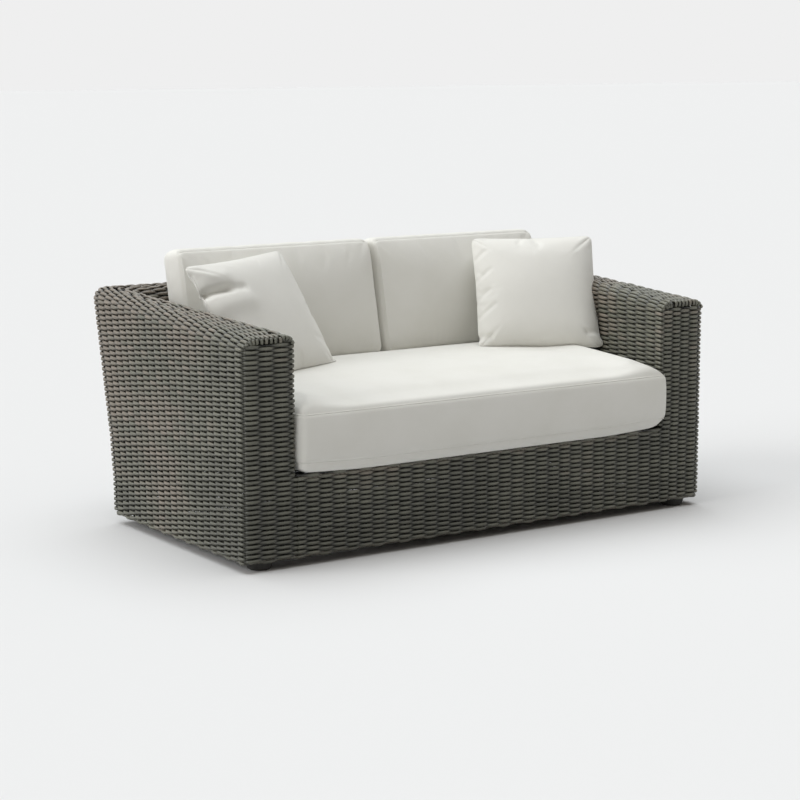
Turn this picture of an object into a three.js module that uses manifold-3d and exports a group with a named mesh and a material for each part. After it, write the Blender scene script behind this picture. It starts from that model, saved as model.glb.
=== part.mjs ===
// Two-seat garden sofa: woven strand skins over a tube frame, with loose cushions.
// Millimetres, +X across the seat, +Y towards the back, +Z up, floor at Z = 0.
import * as THREE from 'three';
import { mergeVertices } from 'three/addons/utils/BufferGeometryUtils.js';
import Module from 'manifold-3d';

const wasm = await Module();
wasm.setup();
const { Manifold, CrossSection, Mesh } = wasm;

// Woven body
const bodyWidth = 1680;
const footDepth = 808;
const rearOverhang = 127;
const armHeightFront = 665;
const backHeight = 727;
const wickerFloorGap = 26;
const armWidthFront = 165;
const armWidthRear = 82;
const backThickness = 94;
const deckHeight = 260;
const skinThickness = 15;
const armOuterRadius = 45;
const innerTopRadius = 35;
const rearTopRadius = 35;
const frontEdgeRadius = 14;
const heelRadius = 40;
const lowEdgeRadius = 6;
const apronEdgeRadius = 10;
const apronTopLip = 52;
const apronFootLip = 28;
// Rear outline from heel to top: share of the overhang, share of the height
const rearOutlineShares = [[0, 0], [0.02, 0.15], [0.19, 0.352], [1, 1]];

// Frame tubes, seat bars and feet
const frameTube = 25;
const armTube = 20;
const tubeWall = 2;
const frameLift = 4;
const railEndGap = 12;
const seatRailBackGap = 8;
const seatSideRailInset = 30;
const armTubeFrontGap = 9;
const armTubeDrop = 12;
const armTubeSideGap = 2;
const armTubeRearInset = 100;
const barThickness = 8;
const barWidth = 45;
const barCount = 7;
const barEndInset = 150;
const footRadius = 41;
const footBottomRadius = 35;
const footNeckRadius = 24;
const footFillet = 9;
const frontFootInset = 73;
const frontFootSetback = 53;
const rearFootInset = 150;
const boltRadius = 4;
const boltHeadRadius = 7;
const boltHeadHeight = 5;
const boltHeadRecess = 6;
const boltReach = 12;
const boltClearance = 0.5;

// Clearances
const touchGap = 0.3;
const softGap = 0.7;
const cutOverrun = 60;

// Seat cushion
const seatSideGap = 3;
const seatBackGap = 4;
const seatFrontReach = 15;
const seatFrontBulge = 7;
const seatSeamFront = 179;
const seatSeamRear = 194;
const seatCrown = 38;
const seatCornerRadius = 40;
const seatFootFillet = 20;

// Back cushions
const backCushionArmGap = 100;
const backCushionLeftWidth = 692;
const backCushionSplit = 27;
const backCushionRightWidth = 634;
const backCushionHeight = 366;
const backCushionThickness = 112;
const backCushionBackGap = 12;
const backCushionFrontCrown = 30;
const backCushionRearCrown = 20;
const backCushionTopBulge = 12;
const backCushionCornerRadius = 34;
const backCushionSink = 4;
const backCushionLean = THREE.MathUtils.degToRad(12);

// Throw pillows, with places counted from the arm, the back and the seat crown
const leftPillowWidth = 426;
const leftPillowHeight = 410;
const leftPillowThickness = 132;
const leftPillowArmInset = 256;
const leftPillowBackInset = 242;
const leftPillowSink = 22;
const leftPillowTurn = { heading: 18, lean: 30.9, roll: 6.1 };
const rightPillowWidth = 402;
const rightPillowHeight = 382;
const rightPillowThickness = 128;
const rightPillowArmInset = 168;
const rightPillowBackInset = 285;
const rightPillowSink = 2;
const rightPillowTurn = { heading: -29, lean: 27.3, roll: 0.8 };
const pillowSeam = 8;
const pillowDrawInShare = 0.065;
const pillowPuffPower = 0.5;

// Steps of the arcs and rounds, and grid counts across, along and through
const arcSteps = 6;
const roundSteps = 32;
const seatGrid = [24, 14, 3];
const backCushionGrid = [20, 10, 6];
const pillowGrid = [18, 18, 1];
const gridSpanShare = 2;
const edgeCrowding = 1.5;
const crownPowerAcross = 4.5;
const crownPowerFront = 2;
const crownPowerRear = 6;
const crownPower = 0.9;
const cushionCrownPower = 3;

// Colours of the finishes
const finishes = {
  weave: { color: 0x5b5952, roughness: 0.75, metalness: 0 },
  frame: { color: 0x4a4640, roughness: 0.45, metalness: 0.8 },
  foot: { color: 0x1d1c1a, roughness: 0.6, metalness: 0 },
  bolt: { color: 0x9a9a98, roughness: 0.35, metalness: 1 },
  canvas: { color: 0xd6d3c9, roughness: 0.9, metalness: 0 },
  linen: { color: 0xdedbd2, roughness: 0.9, metalness: 0 },
};

// Places worked out from the sizes above
const halfWidth = bodyWidth / 2;
const wickerHeight = backHeight - wickerFloorGap;
const rearTop = footDepth + rearOverhang;
const rearLine = rearOutlineShares.map(([reach, rise]) => [
  footDepth + rearOverhang * reach,
  wickerFloorGap + wickerHeight * rise,
]);
const [bendPoint, topPoint] = rearLine.slice(-2);
const rakeSlope = (topPoint[0] - bendPoint[0]) / (topPoint[1] - bendPoint[1]);
const skinAcross = skinThickness * Math.hypot(1, rakeSlope);
const topSlope = (backHeight - armHeightFront) / rearTop;

const armWidthAt = (y) => armWidthFront + (armWidthRear - armWidthFront) * (y / rearTop);
const innerFaceAt = (y) => halfWidth - armWidthAt(y);
const topAt = (y) => armHeightFront + topSlope * y;
const backFaceAt = (z) => rearTop - backThickness - rakeSlope * (backHeight - z);
// Height at which the front of the back meets the sloping top
const faceTop = topAt(backFaceAt(0)) / (1 - topSlope * rakeSlope);

const railBottom = wickerFloorGap + frameLift;
const railTop = railBottom + frameTube;
const seatRailTop = deckHeight - barThickness;
const seatRailCentre = seatRailTop - frameTube / 2;
const frontRailY = frontFootSetback;
const rearRailY = backFaceAt(seatRailTop) - seatRailBackGap - frameTube / 2;
const postX = halfWidth - armWidthAt(rearRailY) / 2;
const postInnerX = postX - frameTube / 2;
const backPostYAt = (z) => backFaceAt(z) + skinAcross + touchGap + frameTube / 2;

const group = new THREE.Group();

// Adds a named mesh with one of the finishes
function addPiece(name, geometry, finish) {
  const mesh = new THREE.Mesh(geometry, new THREE.MeshStandardMaterial(finishes[finish]));
  mesh.name = name;
  group.add(mesh);
}

// Turns a closed solid into a geometry
function toGeometry(solid) {
  const { numProp, vertProperties, triVerts } = solid.getMesh();
  const places = [];
  for (let i = 0; i < vertProperties.length; i += numProp) {
    places.push(vertProperties[i], vertProperties[i + 1], vertProperties[i + 2]);
  }
  const geometry = new THREE.BufferGeometry();
  geometry.setAttribute('position', new THREE.Float32BufferAttribute(places, 3));
  geometry.setIndex(Array.from(triVerts));
  return geometry;
}

// Merges the shared vertices of a geometry
function weld(geometry) {
  geometry.deleteAttribute('normal');
  geometry.deleteAttribute('uv');
  return mergeVertices(geometry);
}

// Turns a geometry into a closed solid
function toSolid(geometry) {
  const welded = weld(geometry);
  return new Manifold(new Mesh({
    numProp: 3,
    vertProperties: new Float32Array(welded.attributes.position.array),
    triVerts: new Uint32Array(welded.index.array),
  }));
}

// Outline through the corners, each [a, b, radius], with its corners rounded
function roundedOutline(corners) {
  return corners.flatMap(([a, b, radius], i) => {
    if (!radius) return [[a, b]];
    const before = corners.at(i - 1);
    const after = corners[(i + 1) % corners.length];
    const here = new THREE.Vector2(a, b);
    const back = new THREE.Vector2(before[0], before[1]).sub(here).normalize();
    const on = new THREE.Vector2(after[0], after[1]).sub(here).normalize();
    const half = Math.acos(back.dot(on)) / 2;
    const centre = here.clone().addScaledVector(back.clone().add(on).normalize(), radius / Math.sin(half));
    const start = here.clone().addScaledVector(back, radius / Math.tan(half)).sub(centre);
    const sweep = Math.PI - 2 * half;
    const turn = Math.sign(on.x * back.y - on.y * back.x);
    return Array.from({ length: arcSteps + 1 }, (_, k) => {
      const angle = turn * sweep * (k / arcSteps);
      const point = start.clone().rotateAround(new THREE.Vector2(), angle).add(centre);
      return [point.x, point.y];
    });
  });
}

// Solid of an outline drawn in Y and Z, run along X
function alongX(section, from, to) {
  return section.extrude(to - from).transform([0, 1, 0, 0, 0, 0, 1, 0, 1, 0, 0, 0, from, 0, 0, 1]);
}

// Outline of an arm seen from its side
function armSideOutline() {
  const radii = [heelRadius, 0, 0, rearTopRadius];
  const rear = rearLine.map(([y, z], i) => [y, z, radii[i]]);
  return new CrossSection([roundedOutline([
    [0, wickerFloorGap, lowEdgeRadius],
    ...rear,
    [0, armHeightFront, frontEdgeRadius],
  ])]);
}

// Rectangle as a section
function rectangle([left, low], [right, high]) {
  return new CrossSection([[[left, low], [right, low], [right, high], [left, high]]]);
}

// Arm block shrunk by an inset, with an open foot when it is the hollow
function armBlock(inset) {
  let side = armSideOutline().offset(-inset, 'Miter');
  if (inset > 0) {
    const mouth = rectangle(
      [inset, wickerFloorGap - cutOverrun],
      [footDepth - heelRadius, wickerFloorGap + heelRadius],
    );
    side = side.add(mouth);
  }
  const plan = new CrossSection([roundedOutline([
    [innerFaceAt(0), 0, frontEdgeRadius],
    [halfWidth, 0, frontEdgeRadius],
    [halfWidth, rearTop, 0],
    [innerFaceAt(rearTop), rearTop, 0],
  ])]).offset(-inset, 'Miter');
  const column = plan.extrude(backHeight + 2 * cutOverrun).translate([0, 0, -cutOverrun]);
  const over = Manifold.hull([-cutOverrun, rearTop + cutOverrun].flatMap((y) => {
    const top = topAt(y) - inset;
    return roundedOutline([
      [innerFaceAt(y) + inset, -cutOverrun, 0],
      [halfWidth - inset, -cutOverrun, 0],
      [halfWidth - inset, top, armOuterRadius - inset],
      [innerFaceAt(y) + inset, top, innerTopRadius - inset],
    ]).map(([x, z]) => [x, y, z]);
  }));
  return { side, solid: alongX(side, 0, bodyWidth).intersect(column).intersect(over) };
}

// Woven skin of an arm: outer, front, rear and top walls, and an inner wall above the seat rails
function armSkin() {
  const outer = armBlock(0);
  const hollow = armBlock(skinThickness);
  const below = rectangle([0, -cutOverrun], [rearTop, seatRailTop]);
  const passage = alongX(hollow.side.intersect(below), 0, halfWidth - skinThickness);
  return outer.solid.subtract(hollow.solid).subtract(passage);
}

// Woven skin of the back, between the arms
function backSkin() {
  const low = wickerFloorGap;
  const outline = new CrossSection([roundedOutline([
    [backFaceAt(low), low, 0],
    ...rearLine.slice(0, -1).map(([y, z], i) => [y, z, i === 0 ? heelRadius : 0]),
    [rearTop, topAt(rearTop), rearTopRadius],
    [backFaceAt(faceTop), faceTop, innerTopRadius],
  ])]);
  const hollow = outline.offset(-skinThickness, 'Miter');
  const middle = backFaceAt(seatRailTop) + backThickness / 2;
  const front = rectangle([backFaceAt(low) - cutOverrun, low - cutOverrun], [middle, seatRailTop]);
  const mouth = rectangle(
    [backFaceAt(low), low - cutOverrun],
    [footDepth - heelRadius, low + heelRadius],
  );
  const walls = outline.subtract(hollow).subtract(front).subtract(mouth);
  const between = Manifold.hull([0, rearTop + cutOverrun].flatMap((y) =>
    [-1, 1].flatMap((side) => [0, backHeight + cutOverrun].map((z) =>
      [side * (innerFaceAt(y) - touchGap), y, z]))));
  return alongX(walls, -halfWidth, halfWidth).intersect(between);
}

// Woven skin below the seat, a channel open to the rear
function apronSkin() {
  const walls = new CrossSection([roundedOutline([
    [0, wickerFloorGap, apronEdgeRadius],
    [apronFootLip, wickerFloorGap, 0],
    [apronFootLip, wickerFloorGap + skinThickness, 0],
    [skinThickness, wickerFloorGap + skinThickness, 0],
    [skinThickness, seatRailTop, 0],
    [apronTopLip, seatRailTop, 0],
    [apronTopLip, deckHeight, 0],
    [0, deckHeight, apronEdgeRadius],
  ])]);
  const end = innerFaceAt(0) - touchGap;
  return alongX(walls, -end, end);
}

// Square tube or flat bar from point a to point b, with ends square to one axis
function prism(a, b, axis, [wide, high], wall = 0) {
  const corners = (w, h) => [[-w, -h], [w, -h], [w, h], [-w, h]].map(([x, y]) => new THREE.Vector2(x, y));
  const shape = new THREE.Shape(corners(wide / 2, high / 2));
  if (wall > 0) shape.holes.push(new THREE.Path(corners(wide / 2 - wall, high / 2 - wall).reverse()));
  const start = new THREE.Vector3(...a);
  const run = new THREE.Vector3(...b).sub(start);
  const length = run.getComponent(axis);
  const geometry = new THREE.ExtrudeGeometry(shape, { depth: length, bevelEnabled: false });
  const units = [0, 1, 2].map((k) => new THREE.Vector3().setComponent(k, 1));
  const first = units[(axis + 1) % 3];
  const second = units[(axis + 2) % 3];
  const along = run.divideScalar(length);
  return geometry.applyMatrix4(new THREE.Matrix4().makeBasis(first, second, along).setPosition(start));
}

// Square frame tube from point a to point b
function tube(a, b, axis, size = frameTube) {
  return prism(a, b, axis, [size, size], tubeWall);
}

// Cylinder standing on Z
function cylinder(radius, [x, y], low, high) {
  return Manifold.cylinder(high - low, radius, radius, roundSteps).translate([x, y, low]);
}

// Distance of an arm tube's centre from the arm's face, under a top edge of that radius
function armTubeEdge(radius) {
  const round = radius - skinThickness;
  const level = Math.max(round - armTubeDrop, 0);
  return skinThickness + round - Math.sqrt(round ** 2 - level ** 2) + armTubeSideGap + armTube / 2;
}

// Base rails, seat rails and posts
function addFrame() {
  const baseZ = railBottom + frameTube / 2;
  const baseRearY = backPostYAt(railTop);
  const tubeZAt = (y) => topAt(y) - skinThickness - armTubeDrop - armTube / 2;
  const bridgeSides = [frontRailY, rearRailY].map((y) => {
    const lowest = Math.min(tubeZAt(y - frameTube / 2), tubeZAt(y + frameTube / 2));
    return { y, top: lowest - armTube / 2 - touchGap };
  });
  for (const [name, y, inset] of [['front', frontRailY, frontFootInset], ['rear', baseRearY, rearFootInset]]) {
    const holes = [-1, 1].map((side) => cylinder(
      boltRadius + boltClearance, [side * (halfWidth - inset), y], 0, railBottom + frameTube / 2));
    const rail = tube([-postInnerX, y, baseZ], [postInnerX, y, baseZ], 0);
    addPiece(`base_${name}_rail`, toGeometry(toSolid(rail).subtract(holes[0]).subtract(holes[1])), 'frame');
  }
  addPiece('seat_front_rail',
    tube([-postInnerX, frontRailY, seatRailCentre], [postInnerX, frontRailY, seatRailCentre], 0), 'frame');
  addPiece('seat_rear_rail',
    tube([-postInnerX, rearRailY, seatRailCentre], [postInnerX, rearRailY, seatRailCentre], 0), 'frame');
  for (const [name, side] of [['left', -1], ['right', 1]]) {
    const railX = side * postX;
    const railStart = skinThickness + railEndGap;
    const railEnd = footDepth - heelRadius - railEndGap;
    addPiece(`base_${name}_rail`, tube([railX, railStart, baseZ], [railX, railEnd, baseZ], 1), 'frame');
    const seatX = side * (innerFaceAt(0) - seatSideRailInset);
    addPiece(`seat_${name}_rail`,
      tube([seatX, frontRailY + frameTube / 2, seatRailCentre],
        [seatX, rearRailY - frameTube / 2, seatRailCentre], 1), 'frame');
    const outerEdge = armTubeEdge(armOuterRadius);
    const innerEdge = armTubeEdge(innerTopRadius);
    const outerX = side * (halfWidth - outerEdge);
    const innerXAt = (y) => side * (innerFaceAt(y) + innerEdge);
    bridgeSides.forEach(({ y, top }, i) => {
      const place = `${name}_${i ? 'rear' : 'front'}`;
      const post = [railX, y];
      addPiece(`${place}_post`, tube([...post, railTop], [...post, top - armTube], 2), 'frame');
      const reach = [innerXAt(y) - side * armTube / 2, outerX + side * armTube / 2].sort((p, q) => p - q);
      const z = top - armTube / 2;
      addPiece(`${place}_arm_bridge`, tube([reach[0], y, z], [reach[1], y, z], 0, armTube), 'frame');
    });
    const from = skinThickness + armTubeFrontGap;
    const pairWidth = outerEdge + innerEdge + armTube + touchGap;
    const meetY = rearTop * (armWidthFront - pairWidth) / (armWidthFront - armWidthRear);
    const to = Math.min(rearTop - armTubeRearInset, meetY);
    addPiece(`${name}_arm_outer_tube`,
      tube([outerX, from, tubeZAt(from)], [outerX, to, tubeZAt(to)], 1, armTube), 'frame');
    addPiece(`${name}_arm_inner_tube`,
      tube([innerXAt(from), from, tubeZAt(from)], [innerXAt(to), to, tubeZAt(to)], 1, armTube), 'frame');
  }
}

// Raked posts and top rail that carry the back skin
function addBackFrame() {
  const guess = backPostYAt(backHeight);
  const top = topAt(guess - frameTube) - innerTopRadius - skinThickness;
  const railCentre = top - frameTube / 2;
  const railY = backPostYAt(railCentre) + rakeSlope * frameTube / 2;
  const reach = innerFaceAt(railY) - skinThickness;
  addPiece('back_top_rail', tube([-reach, railY, railCentre], [reach, railY, railCentre], 0), 'frame');
  const spread = halfWidth - rearFootInset;
  for (const [name, x] of [['left', -spread], ['centre', 0], ['right', spread]]) {
    const end = top - frameTube;
    addPiece(`back_${name}_post`,
      tube([x, backPostYAt(railTop), railTop], [x, backPostYAt(end), end], 2), 'frame');
  }
}

// Flat bars that carry the seat cushion
function addSeatBars() {
  const from = apronTopLip + touchGap;
  const to = rearRailY + frameTube / 2;
  const z = deckHeight - barThickness / 2;
  const spread = innerFaceAt(0) - barEndInset;
  for (let i = 0; i < barCount; i += 1) {
    const x = THREE.MathUtils.lerp(-spread, spread, i / (barCount - 1));
    addPiece(`seat_bar_${i + 1}`, prism([x, from, z], [x, to, z], 1, [barThickness, barWidth]), 'frame');
  }
}

// Round feet, each with the bolt that holds it to the rail above
function addFeet() {
  const puckTop = wickerFloorGap - touchGap;
  const sweep = Array.from({ length: arcSteps + 1 }, (_, k) => {
    const angle = (k / arcSteps) * Math.PI / 2;
    return [footBottomRadius - footFillet + footFillet * Math.sin(angle), footFillet * (1 - Math.cos(angle))];
  });
  const bore = boltRadius + boltClearance;
  const headBore = boltHeadRadius + boltClearance;
  const headTop = boltHeadRecess + boltHeadHeight;
  const footProfile = [
    [bore, headTop], [headBore, headTop], [headBore, 0], ...sweep,
    [footRadius, puckTop], [footNeckRadius, puckTop], [footNeckRadius, railBottom], [bore, railBottom],
    [bore, headTop],
  ].map(([r, z]) => new THREE.Vector2(r, z));
  const boltTop = railBottom + boltReach;
  const boltProfile = [
    [0, boltHeadRecess], [boltHeadRadius, boltHeadRecess], [boltHeadRadius, headTop - touchGap],
    [boltRadius, headTop - touchGap], [boltRadius, boltTop], [0, boltTop],
  ].map(([r, z]) => new THREE.Vector2(r, z));
  const places = [
    ['front', frontFootInset, frontRailY],
    ['rear', rearFootInset, backPostYAt(railTop)],
  ];
  for (const [end, inset, y] of places) {
    for (const [name, side] of [['left', -1], ['right', 1]]) {
      const x = side * (halfWidth - inset);
      const lathe = (profile) => new THREE.LatheGeometry(profile, roundSteps)
        .rotateX(Math.PI / 2).translate(x, y, 0);
      addPiece(`foot_${end}_${name}`, lathe(footProfile), 'foot');
      addPiece(`foot_bolt_${end}_${name}`, lathe(boltProfile), 'bolt');
    }
  }
}

// Crowds grid lines towards the edges of the -1 to 1 span
const crowd = (t) => Math.sign(t) * (1 - (1 - Math.abs(t)) ** edgeCrowding);

// Point of a rounded rectangle reached by a grid place, with the way out at its rim
function planPoint(a, b, halfX, halfY, radius) {
  const ring = Math.max(Math.abs(a), Math.abs(b));
  if (ring === 0) return { x: 0, y: 0, outX: 0, outY: 0, ring };
  const rimX = (a / ring) * halfX;
  const rimY = (b / ring) * halfY;
  const midX = THREE.MathUtils.clamp(rimX, radius - halfX, halfX - radius);
  const midY = THREE.MathUtils.clamp(rimY, radius - halfY, halfY - radius);
  const reach = Math.hypot(rimX - midX, rimY - midY);
  const outX = (rimX - midX) / reach;
  const outY = (rimY - midY) / reach;
  return { x: ring * (midX + outX * radius), y: ring * (midY + outY * radius), outX, outY, ring };
}

// Closed soft body: a gridded box whose points go where the shape function says
function softBody(grid, shape) {
  const geometry = weld(new THREE.BoxGeometry(gridSpanShare, gridSpanShare, gridSpanShare, ...grid));
  const { position } = geometry.attributes;
  for (let i = 0; i < position.count; i += 1) {
    const place = shape(crowd(position.getX(i)), crowd(position.getY(i)), position.getZ(i));
    position.setXYZ(i, ...place);
  }
  return geometry;
}

// Seat cushion sizes and its top surface, on which the others rest
const seatFront = -seatFrontReach;
const seatBottom = deckHeight + touchGap;
const seatRear = backFaceAt(seatBottom) - seatBackGap;
const seatMiddle = (seatFront + seatRear) / 2;
const seatHalfDepth = (seatRear - seatFront) / 2;
const seatHalfWidthAt = (y) => innerFaceAt(Math.max(y, 0)) - seatSideGap;

function seatTopShape(u, v) {
  const seam = deckHeight + THREE.MathUtils.lerp(seatSeamFront, seatSeamRear, (v + 1) / 2);
  const across = 1 - Math.min(Math.abs(u), 1) ** crownPowerAcross;
  const along = 1 - Math.min(Math.abs(v), 1) ** (v < 0 ? crownPowerFront : crownPowerRear);
  return seam + seatCrown * (across * along) ** crownPower;
}

function seatTopAt(x, y) {
  const v = (y - seatMiddle) / seatHalfDepth;
  return seatTopShape(x / seatHalfWidthAt(y), v);
}

const seatPeak = seatTopShape(0, 0);

// Bench cushion: crowned top, bulged front band, rounded foot, sides that follow the arms
function seatCushion() {
  return softBody(seatGrid, (a, b, c) => {
    const plan = planPoint(a, b, seatHalfWidthAt(0), seatHalfDepth, seatCornerRadius);
    const y = seatMiddle + plan.y;
    const spread = seatHalfWidthAt(y) / seatHalfWidthAt(0);
    const rim = plan.ring * seatHalfWidthAt(0);
    const fromRim = Math.min(seatHalfWidthAt(0) - rim, (1 - plan.ring) * seatHalfDepth);
    const dip = Math.max(seatFootFillet - fromRim, 0);
    const low = seatBottom + seatFootFillet - Math.sqrt(seatFootFillet ** 2 - dip ** 2);
    const high = seatTopShape(plan.x / seatHalfWidthAt(0), plan.y / seatHalfDepth);
    const z = THREE.MathUtils.lerp(low, high, (c + 1) / 2);
    const bulge = (plan.ring === 1 && b < 0) ? seatFrontBulge * (1 - c * c) * -plan.outY : 0;
    return [plan.x * spread, y - Math.max(bulge, 0), z];
  });
}

// Keeps a point above the seat, in front of the back and between the arms
function pressed([x, y, z]) {
  const placed = [x, y, z];
  const side = Math.sign(x);
  const reach = innerFaceAt(y) - seatSideGap;
  if (Math.abs(x) > reach && z < topAt(y) + touchGap) placed[0] = side * reach;
  if (z < backHeight + innerTopRadius) placed[1] = Math.min(y, backFaceAt(Math.min(z, backHeight)) - touchGap);
  if (placed[1] < seatRear) placed[2] = Math.max(z, seatTopAt(placed[0], placed[1]) + softGap);
  return placed;
}

// Boxed back cushion between two places across, leaning on the back
function backCushion(left, right) {
  const halfX = (right - left) / 2;
  const halfY = backCushionHeight / 2;
  const lean = backCushionLean;
  const up = new THREE.Vector3(0, Math.sin(lean), Math.cos(lean));
  const out = new THREE.Vector3(0, -Math.cos(lean), Math.sin(lean));
  const footY = backFaceAt(seatPeak) - backCushionBackGap - backCushionThickness / Math.cos(lean);
  const foot = new THREE.Vector3((left + right) / 2, footY, seatPeak - backCushionSink);
  return softBody(backCushionGrid, (a, b, c) => {
    const plan = planPoint(a, b, halfX, halfY, backCushionCornerRadius);
    const crown = (1 - Math.abs(a) ** cushionCrownPower) * (1 - Math.abs(b) ** cushionCrownPower);
    const low = -backCushionThickness - backCushionRearCrown * crown;
    const high = backCushionFrontCrown * crown;
    const depth = THREE.MathUtils.lerp(low, high, (c + 1) / 2);
    const swell = plan.ring === 1 ? backCushionTopBulge * (1 - c * c) : 0;
    const point = foot.clone()
      .addScaledVector(new THREE.Vector3(1, 0, 0), plan.x + plan.outX * swell)
      .addScaledVector(up, halfY + plan.y + plan.outY * swell)
      .addScaledVector(out, depth);
    return pressed(point.toArray());
  });
}

// Knife-edged throw pillow with drawn-in sides, leaning on its lower edge
function throwPillow(side, [width, height, thickness], [armInset, backInset, sink], angles) {
  const [turn, tilt, spin] = [angles.heading, angles.lean, angles.roll].map(THREE.MathUtils.degToRad);
  const out = new THREE.Vector3(
    Math.sin(turn) * Math.cos(tilt), -Math.cos(turn) * Math.cos(tilt), Math.sin(tilt));
  const level = new THREE.Vector3(Math.cos(turn), Math.sin(turn), 0);
  const across = level.clone().applyAxisAngle(out, spin);
  const up = out.clone().cross(across);
  const y = backFaceAt(seatPeak) - backInset;
  const centre = new THREE.Vector3(
    side * (innerFaceAt(y) - armInset), y, seatPeak + (height / 2) * Math.cos(tilt) - sink);
  return softBody(pillowGrid, (a, b, c) => {
    const x = a * (width / 2) * (1 - pillowDrawInShare * (1 - b * b));
    const rise = b * (height / 2) * (1 - pillowDrawInShare * (1 - a * a));
    const puff = ((1 - a * a) * (1 - b * b)) ** pillowPuffPower;
    const depth = c * THREE.MathUtils.lerp(pillowSeam / 2, thickness / 2, puff);
    const point = centre.clone()
      .addScaledVector(across, x)
      .addScaledVector(up, rise)
      .addScaledVector(out, depth);
    return pressed(point.toArray());
  });
}

// Cushions and pillows
function addSoftPieces() {
  addPiece('seat_cushion', seatCushion(), 'canvas');
  const leftEdge = backCushionArmGap - innerFaceAt(seatRear);
  const split = leftEdge + backCushionLeftWidth;
  const rightStart = split + backCushionSplit;
  addPiece('back_cushion_left', backCushion(leftEdge, split), 'canvas');
  addPiece('back_cushion_right', backCushion(rightStart, rightStart + backCushionRightWidth), 'canvas');
  addPiece('throw_pillow_left', throwPillow(
    -1,
    [leftPillowWidth, leftPillowHeight, leftPillowThickness],
    [leftPillowArmInset, leftPillowBackInset, leftPillowSink],
    leftPillowTurn,
  ), 'linen');
  addPiece('throw_pillow_right', throwPillow(
    1,
    [rightPillowWidth, rightPillowHeight, rightPillowThickness],
    [rightPillowArmInset, rightPillowBackInset, rightPillowSink],
    rightPillowTurn,
  ), 'linen');
}

// Moves every piece so that the whole is centred in plan over the origin
function centreInPlan() {
  const box = new THREE.Box3().setFromObject(group);
  const middle = box.getCenter(new THREE.Vector3());
  for (const mesh of group.children) mesh.geometry.translate(-middle.x, -middle.y, 0);
}

addFrame();
addBackFrame();
addSeatBars();
addFeet();
const rightArm = armSkin();
addPiece('left_arm_weave', toGeometry(rightArm.mirror([1, 0, 0])), 'weave');
addPiece('right_arm_weave', toGeometry(rightArm), 'weave');
addPiece('back_weave', toGeometry(backSkin()), 'weave');
addPiece('front_apron_weave', toGeometry(apronSkin()), 'weave');
addSoftPieces();
centreInPlan();

export default group;
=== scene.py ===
"""Looks of the rattan garden sofa: woven walls, loose cushions, finishes and a plain studio."""

import logging
import math
from collections.abc import Callable
from dataclasses import dataclass, field
from enum import Enum
from itertools import product

import bmesh
import bpy
import numpy as np
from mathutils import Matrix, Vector
from mathutils.bvhtree import BVHTree


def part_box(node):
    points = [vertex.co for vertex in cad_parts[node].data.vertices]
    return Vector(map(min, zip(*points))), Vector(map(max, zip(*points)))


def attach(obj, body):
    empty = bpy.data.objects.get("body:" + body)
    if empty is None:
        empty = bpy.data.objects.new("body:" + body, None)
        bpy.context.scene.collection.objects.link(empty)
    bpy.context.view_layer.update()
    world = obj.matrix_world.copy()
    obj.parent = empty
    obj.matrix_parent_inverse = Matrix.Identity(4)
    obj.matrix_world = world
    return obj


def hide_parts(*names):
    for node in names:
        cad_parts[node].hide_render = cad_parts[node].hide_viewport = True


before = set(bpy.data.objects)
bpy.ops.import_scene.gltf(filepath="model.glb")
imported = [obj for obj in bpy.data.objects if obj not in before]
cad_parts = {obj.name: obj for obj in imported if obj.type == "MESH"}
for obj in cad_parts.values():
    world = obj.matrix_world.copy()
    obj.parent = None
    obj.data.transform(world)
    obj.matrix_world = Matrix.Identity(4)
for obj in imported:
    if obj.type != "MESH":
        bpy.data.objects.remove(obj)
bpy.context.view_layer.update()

LOG = logging.getLogger("garden_sofa")
SEED = 20260
Array = np.ndarray
Piece = bpy.types.Object
Mesh = bpy.types.Mesh
Material = bpy.types.Material
Socket = bpy.types.NodeSocket
Colour = tuple[float, ...]
Panels = list[tuple[str, float, float]]
UP = np.array([0.0, 0.0, 1.0])
FORWARD = np.array([0.0, -1.0, 0.0])


# Small tools.


def unit(vectors: Array) -> Array:
    """Rows of vectors scaled to length one."""
    return vectors / np.maximum(np.linalg.norm(vectors, axis=-1, keepdims=True), 1e-12)


def directions(line: Array, closed: bool = False) -> Array:
    """Direction along a line at each of its places."""
    if not closed:
        return unit(np.gradient(line, axis=0))
    wrapped = np.concatenate([line[-2:-1], line, line[1:2]])
    return unit(np.gradient(wrapped, axis=0)[1:-1])


def eased(share: Array) -> Array:
    """Smooth step of a share from 0 to 1."""
    held = np.clip(share, 0.0, 1.0)
    return held * held * (3.0 - 2.0 * held)


def linear(red: float, green: float, blue: float) -> Colour:
    """Scene colour of a display colour given in 0 to 255."""

    def one(value: float) -> float:
        """One channel."""
        level = value / 255.0
        return level / 12.92 if level <= 0.04045 else ((level + 0.055) / 1.055) ** 2.4

    return (one(red), one(green), one(blue), 1.0)


def new_object(name: str, mesh: Mesh) -> Piece:
    """Links a new object that shows the mesh, and reports it."""
    piece = bpy.data.objects.new(name, mesh)
    bpy.context.scene.collection.objects.link(piece)
    LOG.info("%s: %d faces", name, len(mesh.polygons))
    return piece


def coordinates(mesh: Mesh) -> Array:
    """Vertex places of a mesh as rows."""
    places = np.zeros(len(mesh.vertices) * 3)
    mesh.vertices.foreach_get("co", places)
    return places.reshape(-1, 3)


def set_coordinates(mesh: Mesh, places: Array) -> None:
    """Moves the vertices of a mesh."""
    mesh.vertices.foreach_set("co", np.ascontiguousarray(places, dtype=np.float32).ravel())
    mesh.update()


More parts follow.
